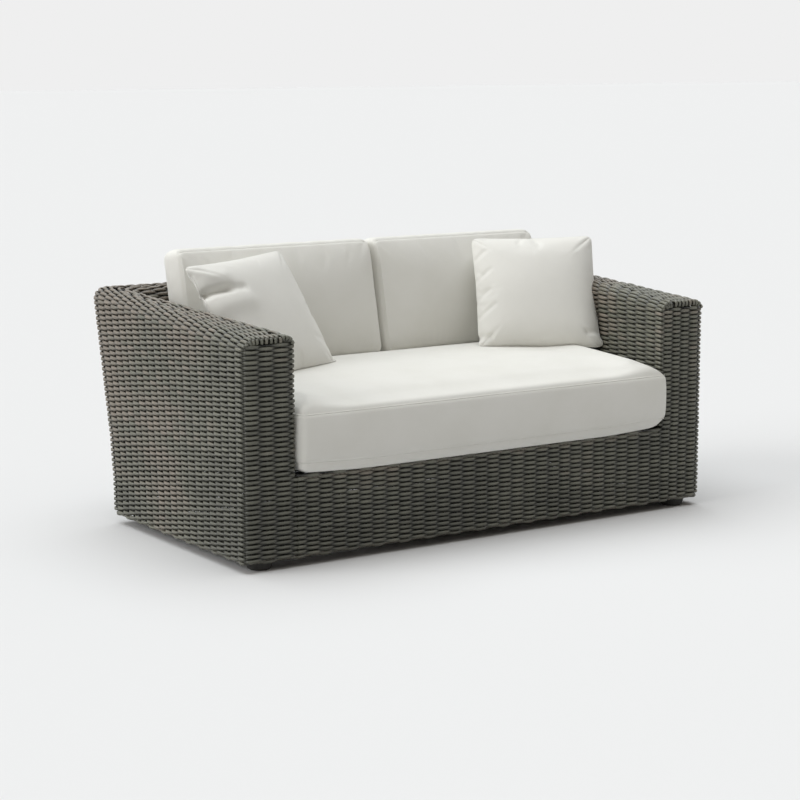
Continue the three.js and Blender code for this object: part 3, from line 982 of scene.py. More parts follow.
    def weave_walls(self) -> None:
        """Weaves the rows of the walls from the floor edge to the crease."""
        n = self.stakes
        outside = [
            ("left_side_weave", n.left_front, n.left_rear),
            ("rear_left_weave", n.left_rear, (n.left_rear + n.right_rear) // 2),
            ("rear_right_weave", (n.left_rear + n.right_rear) // 2, n.right_rear),
            ("right_side_weave", n.right_rear, n.right_front),
            ("right_front_weave", n.right_front, n.right_inner),
        ]
        low = outside + [
            ("apron_weave", n.right_inner, n.apron_end),
            ("left_front_weave", n.apron_end, n.low_round),
        ]
        inside = [
            ("right_inner_weave", n.right_inner, n.inner_right_back),
            ("back_inner_weave", n.inner_right_back, n.inner_left_back),
            ("left_inner_weave", n.inner_left_back, n.left_inner),
        ]
        high = outside + inside + [("left_front_weave", n.left_inner, n.full_round)]
        step = 1.0 / self.samples_per_stake
        for row in range(self.rows):
            share = (row + 0.5) / self.rows
            round_seat = row >= self.deck_row
            course = rounded_course(self.wall_corners(share, round_seat), True, step)
            surface, out = self.wall_surface(course, share)
            sink = -self.corner_push * self.near_corner(course.phase)
            pitch = (self.shell.top_at(course.y) - self.shell.crease_drop - self.shell.deck) / (
                self.rows - self.deck_row
            )
            widen = np.clip(pitch / self.tight_pitch - 1.0, 0.0, self.widest) * float(round_seat)
            panels = high if round_seat else low
            self.lay(row, course.phase, surface, out, panels, True, sink, widen)
            if row % self.anchor_rows == 0 or row == self.rows - 1:
                phase = course.phase
                if not round_seat:
                    low_part = phase <= n.right_inner
                    self.keep_stakes(row, phase[low_part], surface[low_part], out[low_part])
                    front = phase > n.right_inner
                    numbers = self.apron_numbers + phase[front]
                    self.keep_stakes(row, numbers, surface[front], out[front])
                else:
                    self.keep_stakes(row, phase, surface, out)
        for extra in range(1, self.starter_rows + 1):
            row = self.deck_row - extra
            share = (row + 0.5) / self.rows
            course = rounded_course(self.wall_corners(share, True), True, step)
            surface, out = self.wall_surface(course, share)
            inner = (course.phase >= n.right_inner) & (course.phase <= n.left_inner)
            self.lay(row, course.phase[inner], surface[inner], out[inner], inside)

    def near_corner(self, phase: Array) -> Array:
        """How close a place is to an outer front corner, which lies between two stakes."""
        n = self.stakes
        places = (n.left_front, n.low_round, n.full_round)
        return sum(np.exp(-(((phase - place) / self.corner_reach) ** 2)) for place in places)

    def cap_profile(self, radius: float, run: float) -> tuple[float, float, float]:
        """Rounded top edge at a run beyond the crease.

        Args:
            radius: Radius of the edge.
            run: Length along the surface from the crease.

        Returns:
            Inset from the face, drop below the top, and sine of the surface's turn.
        """
        start = math.asin((radius - self.shell.crease_drop) / radius)
        angle = start + run / radius
        if angle >= math.pi / 2.0:
            return radius + run - radius * (math.pi / 2.0 - start), 0.0, 1.0
        return radius * (1.0 - math.cos(angle)), radius * (1.0 - math.sin(angle)), math.sin(angle)

    def cap_line(
        self, corners: list[Corner], drops: tuple[float, float], turns: tuple[float, float]
    ) -> tuple[Array, Array, Array]:
        """Surface line of one cap row, turned down over the arm fronts at both ends.

        Args:
            corners: Plan corners of the row.
            drops: Drop below the top on the arms and on the back.
            turns: Sine of the surface's turn on the arms and on the back.

        Returns:
            Stake count, places and outward directions.
        """
        s = self.shell
        course = rounded_course(corners, False, 1.0 / self.samples_per_stake)
        across = course.out[:, 1] ** 2
        drop = drops[0] * (1.0 - across) + drops[1] * across
        turned = turns[0] * (1.0 - across) + turns[1] * across
        z = s.top_at(course.y) - drop
        flat = np.concatenate([course.out, np.zeros((len(z), 1))], axis=1)
        out = unit(flat * np.sqrt(1.0 - turned**2)[:, None] + UP * turned[:, None])
        surface = np.stack([course.x, course.y, z], axis=-1)
        head = self.turned_end(surface[0], out[0], drops[0], float(turned[0]))
        tail = self.turned_end(surface[-1], out[-1], drops[0], float(turned[-1]))
        body = np.nonzero(course.y > self.turn_radius)[0]
        keep = slice(body[0], body[-1] + 1)
        count = len(head[0])
        phase = np.concatenate(
            [
                course.phase[0] + np.linspace(-self.end_swing, self.end_start, count),
                course.phase[keep],
                course.phase[-1] + np.linspace(-self.end_start, self.end_swing, count),
            ]
        )
        surface = np.concatenate([head[0][::-1], surface[keep], tail[0]])
        out = np.concatenate([head[1][::-1], out[keep], tail[1]])
        return phase, surface, out

    def turned_end(self, end: Array, out: Array, drop: float, turned: float) -> tuple[Array, Array]:
        """Last samples of a cap row, turned down over the front edge.

        Args:
            end: Surface place at the front plane.
            out: Outward direction there.
            drop: Drop of the row below the top.
            turned: Sine of the surface's turn.

        Returns:
            Places and outward directions, from the edge downwards.
        """
        radius = self.turn_radius
        room = (self.shell.crease_drop - self.fringe_gap - drop) / max(turned, 0.2)
        fall = float(np.clip(room, radius, self.fringe))
        places, ways = [], []
        for angle in (0.0, 0.4, 0.8, 1.2, math.pi / 2.0):
            sin, cos = math.sin(angle), math.cos(angle)
            place = end - out * radius * (1.0 - cos)
            place[1] = radius * (1.0 - sin)
            places.append(place)
            ways.append(unit(out * cos + FORWARD * sin))
        rest = max(fall - radius, 0.0)
        for share, tuck in ((0.5, 0.0), (1.0, 0.0), (1.15, 0.006)):
            place = end - out * (radius + rest * share)
            place[1] = tuck
            places.append(place)
            ways.append(FORWARD)
        return np.array(places), np.array(ways)

    def weave_caps(self) -> None:
        """Weaves the rows that run over the rounded top edges and the flat top."""
        n = self.stakes
        outer_panels = [
            ("left_cap_weave", -1, n.left_rear),
            ("back_cap_weave", n.left_rear, n.right_rear),
            ("right_cap_weave", n.right_rear, n.right_front + 1),
        ]
        inner_panels = [
            ("right_cap_weave", n.right_inner - 1, n.inner_right_back),
            ("back_cap_weave", n.inner_right_back, n.inner_left_back),
            ("left_cap_weave", n.inner_left_back, n.left_inner + 1),
        ]
        for i in range(self.cap_rows):
            self.lay_outer_cap(i, outer_panels)
            self.lay_inner_cap(i, inner_panels)
        for i in range(self.extra_rows):
            self.lay_extra(i)

    def turning(self, out: Array) -> Array:
        """How far a row is into a plan corner, from 0 on the straight to 1 in the middle."""
        plan = out[:, :2] / np.maximum(np.linalg.norm(out[:, :2], axis=1, keepdims=True), 1e-6)
        return 2.0 * np.abs(plan[:, 0] * plan[:, 1]) * (np.linalg.norm(out[:, :2], axis=1) > 1e-3)

    def lay_outer_cap(self, i: int, panels: Panels) -> None:
        """Lays one cap row along the outer edge."""
        s, n = self.shell, self.stakes
        place = i + 0.5
        side_in, side_drop, side_turn = self.cap_profile(s.outer_radius, place * self.side_pitch)
        rear_in, rear_drop, rear_turn = self.cap_profile(s.rear_radius, place * self.back_pitch)
        side = s.half_width - side_in
        rear = float(s.rear_at(s.top_at(s.depth) - rear_drop)) - rear_in
        radius = s.rear_corner
        corners = [
            Corner(-side, 0.0, 0.0, n.left_front),
            Corner(-side, rear, radius, n.left_rear),
            Corner(side, rear, radius, n.right_rear),
            Corner(side, 0.0, 0.0, n.right_front),
        ]
        self.lay_cap(self.rows + i, corners, (side_drop, rear_drop), (side_turn, rear_turn), panels)

    def lay_inner_cap(self, i: int, panels: Panels) -> None:
        """Lays one cap row along the inner edge."""
        s, n = self.shell, self.stakes
        place = i + 0.5
        arm_in, arm_drop, arm_turn = self.cap_profile(s.inner_radius, place * self.side_pitch)
        back_in, back_drop, back_turn = self.cap_profile(s.inner_radius, place * self.back_pitch)
        back = s.settle(1.0, s.back_at)
        back = float(s.back_at(s.top_at(back) - back_drop)) + back_in
        front_x = float(s.inner_at(0.0)) + arm_in
        radius = s.inner_corner - self.corner_closing * arm_in
        back_x = float(s.inner_at(back)) + arm_in
        corners = [
            Corner(front_x, 0.0, 0.0, n.right_inner),
            Corner(back_x, back, radius, n.inner_right_back),
            Corner(-back_x, back, radius, n.inner_left_back),
            Corner(-front_x, 0.0, 0.0, n.left_inner),
        ]
        self.lay_cap(self.rows + i, corners, (arm_drop, back_drop), (arm_turn, back_turn), panels)

    def lay_cap(
        self,
        row: int,
        corners: list[Corner],
        drops: tuple[float, float],
        turns: tuple[float, float],
        panels: Panels,
    ) -> None:
        """Weaves one cap row round its corners and remembers where the stakes pass it."""
        phase, surface, out = self.cap_line(corners, drops, turns)
        self.lay(row, phase, surface, out, panels, widen=self.corner_growth * self.turning(out))
        self.keep_stakes(row, phase, surface, out)

    def lay_extra(self, i: int) -> None:
        """Lays one flat row on each arm, which ends where the arm has grown too narrow for it."""
        s, n = self.shell, self.stakes
        run = (self.cap_rows + i + 0.5) * self.side_pitch
        inset, drop, turn = self.cap_profile(s.outer_radius, run)
        inner_room = self.cap_profile(s.inner_radius, self.cap_rows * self.side_pitch)[0]
        left_over = s.arm_front_width - inner_room - inset - self.side_pitch / 2.0
        end = max(left_over * s.depth / s.arm_taper, self.shortest_row)
        pitch = s.depth / (n.left_rear - n.left_front)
        last = max(int(end / pitch * self.samples_per_stake), 6)
        step = 1.0 / self.samples_per_stake
        rear_y = s.depth - s.rear_radius
        row = self.rows + self.cap_rows + i
        for mirror, name in ((-1.0, "left_cap_weave"), (1.0, "right_cap_weave")):
            y = pitch * step * np.arange(last + 1)
            y = y[y > self.turn_radius]
            count = len(y)
            surface = np.stack(
                [np.full(count, mirror * (s.half_width - inset)), y, s.top_at(y) - drop], axis=-1
            )
            out = np.tile(UP, (count, 1))
            end_place = np.array([surface[0, 0], 0.0, float(s.top_at(0.0)) - drop])
            head, head_out = self.turned_end(end_place, out[0], drop, turn)
            surface = np.concatenate([head[::-1], surface])
            out = np.concatenate([head_out[::-1], out])
            turned_phase = np.linspace(-self.end_swing, self.end_start, len(head))
            stake = n.left_front + np.concatenate([turned_phase, y / pitch])
            tuck = self.flat_tuck * eased((stake - (stake[-1] - 0.5)) / 0.5)
            tuck = np.where(y[-1] > rear_y, 0.0, tuck)
            if mirror > 0:
                surface, out, tuck = surface[::-1], out[::-1], tuck[::-1]
                stake = n.right_front + n.left_front - stake[::-1]
            self.lay(row, stake, surface, out, [(name, -2, n.full_round)], sink=tuck)

    def add_stakes(self) -> None:
        """Runs the upright stakes through the rows and over the top."""
        n, s = self.stakes, self.shell
        first_apron = self.apron_numbers + 1
        home = {
            "left_side_stakes": range(0, n.left_rear + 1),
            "rear_stakes": range(n.left_rear + 1, n.right_rear),
            "right_side_stakes": range(n.right_rear, int(n.right_inner) + 1),
            "inner_stakes": range(int(n.right_inner) + 1, int(n.left_inner) + 1),
            "left_front_stakes": range(int(n.left_inner) + 1, int(n.full_round) + 1),
            "apron_stakes": range(
                first_apron + int(n.right_inner), first_apron + int(n.low_round)
            ),
        }
        for name, numbers in home.items():
            for number in numbers:
                passed = self.nodes.get(number)
                if not passed or len(passed) < 3:
                    continue
                rows = np.array([passed[order] for order in sorted(passed)])
                line, out = rows[:, :3].copy(), rows[:, 3:]
                on_left_arm = 0 <= number < n.left_rear
                on_right_arm = n.right_rear < number < n.right_front
                if on_left_arm or on_right_arm:
                    line, out = self.across_arm(line, out)
                line[:, 1] += s.front
                self.batch(name).add(
                    line,
                    directions(line),
                    out,
                    self.stake_radius,
                    self.stake_radius,
                    self.stake_tone,
                    self.stake_lit_share,
                    number * self.stake_offset,
                )

    def across_arm(self, line: Array, out: Array) -> tuple[Array, Array]:
        """Carries a stake on across the flat top of an arm."""
        s = self.shell
        end = line[-1]
        side = math.copysign(1.0, end[0])
        inner = float(s.inner_at(end[1])) + self.arm_crossing
        if abs(end[0]) - inner < self.least_crossing:
            return line, out
        steps = 5
        share = np.linspace(0.0, 1.0, steps + 1)[1:]
        more = np.tile(end, (steps, 1))
        more[:, 0] = side * (abs(end[0]) + (inner - abs(end[0])) * share)
        return np.concatenate([line, more]), np.concatenate([out, np.tile(UP, (steps, 1))])

    def add_borders(self) -> None:
        """Twists the plaited border along the floor edge and the apron's top edge."""
        s = self.shell
        ring = rounded_course(self.wall_corners(self.border_share, False), True, 1.0 / 8.0)
        height = np.full(len(ring.x), s.floor_gap + self.border_rise)
        base = np.stack([ring.x, ring.y, height], axis=-1)
        out = np.concatenate([ring.out, np.zeros((len(base), 1))], axis=1)
        self.twist("floor_border", base - out * self.border_depth, out, self.floor_twist)
        overlap = self.rail_overlap
        x = np.linspace(s.inner_at(0.0) - overlap, -s.inner_at(0.0) + overlap, 240)
        depth, height = np.full(len(x), self.rail_depth), np.full(len(x), s.deck - self.rail_drop)
        rail = np.stack([x, depth, height], axis=-1)
        self.twist("apron_border", rail, np.tile(FORWARD, (len(x), 1)), self.apron_twist)

    def twist(self, name: str, base: Array, out: Array, size: Twist) -> None:
        """Adds two strands twisted round each other along a line."""
        steps = np.linalg.norm(np.diff(base, axis=0), axis=1)
        length = np.concatenate([[0.0], np.cumsum(steps)])
        count = int(length[-1] / self.twist_step)
        travel = np.linspace(0.0, length[-1], count)
        line = np.stack([np.interp(travel, length, base[:, a]) for a in range(3)], axis=-1)
        side = unit(np.stack([np.interp(travel, length, out[:, a]) for a in range(3)], axis=-1))
        line[:, 1] += self.shell.front
        for strand in range(2):
            angle = 2.0 * math.pi * travel / size.turn + math.pi * strand
            swung = side * np.cos(angle)[:, None] + UP * np.sin(angle)[:, None]
            strand_line = line + swung * size.throw
            # The border strands carry a little painted shade: 0.8 of their colour shows.
            self.batch(name).add(
                strand_line,
                directions(strand_line),
                side,
                size.radius,
                size.radius,
                0.45 + 0.2 * strand,
                0.8,
                5.0 * strand,
            )

    def make(self, material: Material) -> None:
        """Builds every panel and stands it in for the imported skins."""
        self.weave_walls()
        self.weave_caps()
        self.add_stakes()
        self.add_borders()
        stands_for = {
            "left_side_weave": "left_arm_weave",
            "right_side_weave": "right_arm_weave",
            "rear_left_weave": "back_weave",
            "apron_weave": "front_apron_weave",
        }
        for name, batch in self.batches.items():
            piece = batch.build(material)
            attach(piece, "frame")
            if name in stands_for:
                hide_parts(stands_for[name])


# Cushions.


@dataclass(frozen=True)
class SoftGrid:
    """Closed box of quads whose points have places from -1 to 1 across, along and through."""

    across: int
    along: int
    through: int
    crowding: float = 1.3

    def crowd(self, index: Array, count: int) -> Array:
        """Place of a grid line, closer together towards both ends."""
        place = 2.0 * index / count - 1.0
        return np.sign(place) * (1.0 - (1.0 - np.abs(place)) ** self.crowding)

    def build(self) -> tuple[Array, Array, Array]:
        """Makes the points and faces.

        Returns:
            Whole-number places of the points, their places from -1 to 1, and the quads.
        """
        nu, nv, nw = self.across, self.along, self.through
        known: dict[tuple[int, int, int], int] = {}
        quads: list[tuple[int, int, int, int]] = []

        def at(i: int, j: int, k: int) -> int:
            """Number of the point at a grid place."""
            return known.setdefault((i, j, k), len(known))

        def face(*corners: tuple[int, int, int]) -> None:
            """Adds one quad by the grid places of its corners."""
            quads.append(tuple(at(*corner) for corner in corners))

        for i, j in product(range(nu), range(nv)):
            face((i, j, nw), (i + 1, j, nw), (i + 1, j + 1, nw), (i, j + 1, nw))
            face((i, j, 0), (i, j + 1, 0), (i + 1, j + 1, 0), (i + 1, j, 0))
        for i, k in product(range(nu), range(nw)):
            face((i, 0, k), (i + 1, 0, k), (i + 1, 0, k + 1), (i, 0, k + 1))
            face((i, nv, k), (i, nv, k + 1), (i + 1, nv, k + 1), (i + 1, nv, k))
        for j, k in product(range(nv), range(nw)):
            face((0, j, k), (0, j, k + 1), (0, j + 1, k + 1), (0, j + 1, k))
            face((nu, j, k), (nu, j + 1, k), (nu, j + 1, k + 1), (nu, j, k + 1))
        whole = np.array(list(known), int)
        counts = (nu, nv, nw)
        places = np.stack([self.crowd(whole[:, a], counts[a]) for a in range(3)], axis=-1)
        return whole, places, np.array(quads)

    def rim(self, level: int) -> list[tuple[int, int, int]]:
        """Grid places round the outline at one level through the thickness, in order."""
        nu, nv = self.across, self.along
        ring = [(i, 0, level) for i in range(nu)]
        ring += [(nu, j, level) for j in range(nv)]
        ring += [(i, nv, level) for i in range(nu, 0, -1)]
        ring += [(0, j, level) for j in range(nv, 0, -1)]
        return ring


def rounded_plan(
    a: Array, b: Array, half_x: float, half_y: float, radius: float
) -> tuple[Array, ...]:
    """Maps a square onto a rectangle with round corners, ring by ring.

    Args:
        a: Places across, from -1 to 1.
        b: Places along, from -1 to 1.
        half_x: Half the width.
        half_y: Half the depth.
        radius: Corner radius at the rim.

    Returns:
        x, y, ring share from 0 to 1, and the outward direction in plan.
    """
    ring = np.maximum(np.abs(a), np.abs(b))
    corner = radius * ring
    over_x = np.abs(a) * half_x - (ring * half_x - corner)
    over_y = np.abs(b) * half_y - (ring * half_y - corner)
    turning = (over_x > 0) & (over_y > 0) & (corner > 1e-9)
    angle = np.arctan2(np.maximum(over_y, 0.0), np.maximum(over_x, 1e-12))
    x = np.where(turning, ring * half_x - corner + corner * np.cos(angle), np.abs(a) * half_x)
    y = np.where(turning, ring * half_y - corner + corner * np.sin(angle), np.abs(b) * half_y)
    flat_x = np.where(np.abs(a) >= np.abs(b), 1.0, 0.0)
    out_x = np.where(turning, np.cos(angle), flat_x) * np.sign(a)
    out_y = np.where(turning, np.sin(angle), 1.0 - flat_x) * np.sign(b)
    return np.sign(a) * x, np.sign(b) * y, ring, out_x, out_y


def closed_cord(name: str, line: Array, radius: float) -> Piece:
    """Round cord along a line that returns to its start, as a mesh.

    Args:
        name: Name of the piece.
        line: Places along the cord.
        radius: Its radius.

    Returns:
        The new object.
    """
    sides = 8
    ends = np.concatenate([line[-1:], line, line[:1]])
    along = unit(np.gradient(ends, axis=0))[1:-1]
    guide = unit(np.cross(along, line.mean(0) - line))
    second = unit(np.cross(guide, along))
    angle = np.arange(sides) * 2.0 * math.pi / sides
    ring = line[:, None, :] + radius * (
        guide[:, None, :] * np.cos(angle)[:, None] + second[:, None, :] * np.sin(angle)[:, None]
    )
    ids = np.arange(len(line) * sides).reshape(len(line), sides)
    following = np.roll(ids, -1, axis=0)
    quads = np.stack(
        [ids, following, np.roll(following, -1, axis=1), np.roll(ids, -1, axis=1)], axis=-1
    )
    return new_object(name, mesh_from(name, ring.reshape(-1, 3), [quads], [True]))


def tidy_normals(mesh: Mesh) -> None:
    """Turns all faces of a closed mesh outwards."""
    work = bmesh.new()
    work.from_mesh(mesh)
    bmesh.ops.recalc_face_normals(work, faces=work.faces)
    work.to_mesh(mesh)
    work.free()


class Keeper:
    """Keeps the points of a soft piece clear of the pieces it leans on."""

    GAP = 0.0015
    REACH = 0.08

    def __init__(self, pieces: list[Piece]) -> None:
        """Reads the surfaces to stay clear of."""
        deps = bpy.context.evaluated_depsgraph_get()
        self.trees = [BVHTree.FromObject(piece, deps) for piece in pieces]

    def press(self, places: Array) -> Array:
        """Pushes points that lie inside a neighbour out to its surface."""
        pressed = places.copy()
        for tree in self.trees:
            for i, place in enumerate(pressed):
                where, normal, _, _ = tree.find_nearest(Vector(place), self.REACH)
                if where is None:
                    continue
                above = (Vector(place) - where).dot(normal)
                if above < self.GAP:
                    pressed[i] = np.array(where + normal * self.GAP)
        return pressed


@dataclass(frozen=True)
class Fold:
    """A valley along a line of the cover's own places, in one face or, for face 0, in both."""

    face: int
    line: tuple[tuple[float, float], ...]
    depth: float
    width: float
    direction: tuple[float, float, float]

    def press(self, rest: Array, places: Array) -> Array:
        """Moves the points near the fold line inwards."""
        own = places[:, :2]
        near = np.full(len(own), 1e9)
        for start, end in zip(self.line, self.line[1:]):
            a, b = np.array(start), np.array(end)
            share = np.clip(((own - a) @ (b - a)) / ((b - a) @ (b - a)), 0.0, 1.0)
            near = np.minimum(near, np.linalg.norm(own - (a + share[:, None] * (b - a)), axis=1))
        on_face = (places[:, 2] * self.face > 0.99) | (self.face == 0)
        amount = self.depth * np.exp(-((near / self.width) ** 2)) * on_face
        return rest - amount[:, None] * np.array(self.direction)


@dataclass
class Cushion:
    """A sewn cushion: two panels, joined by a band or at a knife edge, filled and settled."""

    name: str
    body: str
    slot: Slot
    grid: SoftGrid
    shape: Callable[[Array, Array, Array], Array]
    fill: float
    pressure: float = 4.0
    growth: float = 0.02
    cap: float = 0.022
    under_hold: float = 0.0
    seam_sink: float = 0.0050
    welt: float = 0.0
    folds: list[Fold] = field(default_factory=list)
    frames: int = 20

    def make(self, material: Material, keeper: Keeper | None) -> Piece:
        """Builds, fills, seams and dresses the cushion.

        Args:
            material: Cloth of the cushion.
            keeper: Surfaces to stay clear of, if any.

        Returns:
            The cushion.
        """
        whole, places, quads = self.grid.build()
        number = {tuple(place): i for i, place in enumerate(whole)}
        levels = (0, self.grid.through)
        rims = [[number[place] for place in self.grid.rim(level)] for level in levels]
        rest = self.shape(places[:, 0], places[:, 1], places[:, 2])
        mesh = mesh_from(self.name, rest, [quads], [True])
        tidy_normals(mesh)
        piece = new_object(self.name, mesh)
        rest = self.puffed(piece, places, rims)
        for fold in self.folds:
            rest = fold.press(rest, places)
        set_coordinates(mesh, rest)
        rest = self.sew(mesh, rims)
        if keeper is not None:
            rest = keeper.press(rest)
        set_coordinates(mesh, rest)
        self.crease(mesh, rims)
        smooth = piece.modifiers.new("smooth", "SUBSURF")
        smooth.levels = smooth.render_levels = 1
        mesh.materials.append(material)
        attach(piece, self.body)
        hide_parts(self.body)
        if self.welt > 0.0:
            self.add_welts(rest, rims, material)
        return piece

    def puffed(self, piece: Piece, places: Array, rims: list[list[int]]) -> Array:
        """Fills the cover by a cloth simulation and returns the settled places."""
        rest = coordinates(piece.data)
        held = np.where(places[:, 2] < -0.99, self.under_hold, 0.0)
        for rim in rims:
            held[rim] = np.maximum(held[rim], 0.9 if self.grid.through > 1 else 0.3)
        group = piece.vertex_groups.new(name="held")
        for weight in np.unique(np.round(held, 2)):
            if weight > 0.0:
                members = np.nonzero(np.round(held, 2) == weight)[0]
                group.add([int(i) for i in members], float(weight), "REPLACE")
        cloth = piece.modifiers.new("fill", "CLOTH")
        settings = {
            "quality": 5,
            "mass": 0.3,
            "tension_stiffness": 15.0,
            "compression_stiffness": 15.0,
            "bending_stiffness": 0.4,
            "use_pressure": True,
            "uniform_pressure_force": self.pressure,
            "shrink_min": -self.growth,
            "vertex_group_mass": "held",
        }
        for key, value in settings.items():
            setattr(cloth.settings, key, value)
        cloth.settings.effector_weights.gravity = 0.0
        cloth.point_cache.frame_start = 1
        cloth.point_cache.frame_end = self.frames
        for number in range(1, self.frames + 1):
            bpy.context.scene.frame_set(number)
        deps = bpy.context.evaluated_depsgraph_get()
        settled = coordinates(piece.evaluated_get(deps).data)
        piece.modifiers.remove(cloth)
        bpy.context.scene.frame_set(1)
        move = settled - rest
        size = np.linalg.norm(move, axis=1, keepdims=True)
        LOG.info("%s moved %.1f mm at most", self.name, 1000.0 * float(size.max()))
        return rest + move * np.minimum(1.0, self.cap / np.maximum(size, 1e-9))

    def sew(self, mesh: Mesh, rims: list[list[int]]) -> Array:
        """Draws the seams into the cover."""
        places = coordinates(mesh)
        normals = np.zeros(len(places) * 3)
        mesh.vertices.foreach_get("normal", normals)
        normals = normals.reshape(-1, 3)
        for rim in rims:
            places[rim] -= normals[rim] * self.seam_sink
        return places

    def crease(self, mesh: Mesh, rims: list[list[int]]) -> None:
        """Keeps the seam lines sharp when the cover is smoothed."""
        pairs = {frozenset(pair) for rim in rims for pair in zip(rim, rim[1:] + rim[:1])}
        ends = np.zeros(len(mesh.edges) * 2, int)
        mesh.edges.foreach_get("vertices", ends)
        sharp = np.array([frozenset(pair) in pairs for pair in ends.reshape(-1, 2).tolist()])
        crease = mesh.attributes.new("crease_edge", "FLOAT", "EDGE")
        crease.data.foreach_set("value", sharp.astype(np.float32) * 0.9)

    def add_welts(self, places: Array, rims: list[list[int]], material: Material) -> None:
        """Adds a round cord of the same cloth along the seams."""
        if self.grid.through == 1:
            lines = [(places[rims[0]] + places[rims[1]]) / 2.0]
        else:
            lines = [places[rim] for rim in rims]
        for i, line in enumerate(lines):
            cord = closed_cord(f"{self.name}_piping_{i + 1}", line, self.welt)
            cord.data.materials.append(material)
            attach(cord, self.body)


@dataclass(frozen=True)
class SeatForm:
    """Shape of the one-piece seat cushion."""

    shell: Shell
    side_gap: float = 0.003
    front_reach: float = 0.015
    back_gap: float = 0.004
    front_bulge: float = 0.007
    lower_seam: float = 0.030
    seam_front: float = 0.179
    seam_rear: float = 0.194
    roll: float = 0.014
    roll_width: float = 0.020
    crown: float = 0.024
    corner: float = 0.021
    end_roll: float = 0.023
    end_widening: float = 1.2
    end_lift: float = 0.008
    lift_reach: float = 0.24
    end_reach: float = 0.20
    end_bulge: float = 0.021
    under_reach: float = 0.026
    bulge_reach: float = 0.05
    bulge_from: float = 0.003
    bulge_depth: float = 0.010

    def half_width(self, y: Array) -> Array:
        """Half the cushion's width at a depth."""
        return self.shell.inner_at(np.maximum(y, 0.0)) - self.side_gap

    def shape(self, a: Array, b: Array, c: Array) -> Array:
        """Places of the cover.

        Args:
            a: Places across, from -1 to 1.
            b: Places along, from the front at -1 to the back at 1.
            c: Places through, from the underside at -1 to the top at 1.

        Returns:
            The places, one row each.
        """
        s = self.shell
        bottom = s.deck + 0.0003
        front = -self.front_reach
        rear = float(s.back_at(bottom)) - self.back_gap
        middle, half = (front + rear) / 2.0, (rear - front) / 2.0
        wide = float(self.half_width(np.array(0.0)))
        x, y, ring, _, out_y = rounded_plan(a, b, wide, half, self.corner)
        u, v = x / wide, y / half
        from_rim = np.minimum(wide * (1.0 - ring), half * (1.0 - ring))
        seam = s.deck + self.seam_front + (self.seam_rear - self.seam_front) * (v + 1.0) / 2.0
        near_end = eased((np.abs(x) - wide + self.end_reach) / self.end_reach)
        roll_width = self.roll_width * (1.0 + self.end_widening * near_end)
        rolled = np.clip(from_rim / roll_width, 0.0, 1.0)
        roll = (self.roll + self.end_roll * near_end) * np.sqrt(1.0 - (1.0 - rolled) ** 2)
        arch = (1.0 - np.abs(u) ** 6.5) * (1.0 - np.abs(v) ** np.where(v < 0, 2.0, 6.0))
        high = seam + roll + self.crown * np.clip(arch, 0.0, 1.0) ** 0.9
        under = np.clip(from_rim / self.under_reach, 0.0, 1.0)
        low = bottom + self.lower_seam * (1.0 - np.sqrt(1.0 - (1.0 - under) ** 2))
        low = low + self.end_lift * eased((np.abs(x) - wide + self.lift_reach) / self.lift_reach)
        z = low + (high - low) * (c + 1.0) / 2.0
        on_side = (ring > 0.9999) & (np.abs(c) < 1.0)
        bulge = np.where(on_side, self.front_bulge * (1.0 - c * c), 0.0)
        y_place = middle + y + bulge * np.minimum(out_y, 0.0)
        spread = self.half_width(middle + y) / wide
        before = eased((-y_place - self.bulge_from) / self.bulge_depth)
        at_end = eased((x - wide + self.bulge_reach) / self.bulge_reach)
        x = x * spread + self.end_bulge * before * at_end
        return np.stack([x, y_place + s.front, z], axis=-1)


@dataclass(frozen=True)
class BackForm:
    """Shape of a boxed back cushion that leans on the back."""

    shell: Shell
    left: float
    right: float
    foot: float = 0.4836
    height: float = 0.366
    thickness: float = 0.112
    back_gap: float = 0.012
    lean: float = math.radians(12.0)
    corner: float = 0.018
    front_crown: float = 0.024
    rear_crown: float = 0.012
    side_swell: float = 0.010
    top_roll: float = 0.024
    top_share: float = 0.42

    def shape(self, a: Array, b: Array, c: Array) -> Array:
        """Places of the cover.

        Args:
            a: Places across, from -1 to 1.
            b: Places up, from -1 to 1.
            c: Places through, from the rear at -1 to the front at 1.

        Returns:
            The places, one row each.
        """
        half_x, half_y = (self.right - self.left) / 2.0, self.height / 2.0
        x, rise, ring, out_x, out_y = rounded_plan(a, b, half_x, half_y, self.corner)
        crown = (1.0 - np.abs(a) ** 3) * (1.0 - np.abs(b) ** 3)
        low = -self.thickness - self.rear_crown * crown
        rolled = np.clip((b - 1.0 + self.top_share) / self.top_share, 0.0, 1.0)
        high = self.front_crown * crown - self.top_roll * (1.0 - np.sqrt(1.0 - 0.94 * rolled**2))
        depth = low + (high - low) * (c + 1.0) / 2.0
        swell = np.where((ring > 0.9999) & (np.abs(c) < 1.0), self.side_swell * (1.0 - c * c), 0.0)
        x, rise = x + out_x * swell, rise + out_y * swell
        up = np.array([0.0, math.sin(self.lean), math.cos(self.lean)])
        out = np.array([0.0, -math.cos(self.lean), math.sin(self.lean)])
        foot_y = (
            float(self.shell.back_at(self.foot + 0.004))
            - self.back_gap
            - self.thickness / math.cos(self.lean)
            + self.shell.front
        )
        foot = np.array([(self.left + self.right) / 2.0, foot_y, self.foot])
        side = np.array([1.0, 0.0, 0.0])
        return foot + x[:, None] * side + (half_y + rise)[:, None] * up + depth[:, None] * out


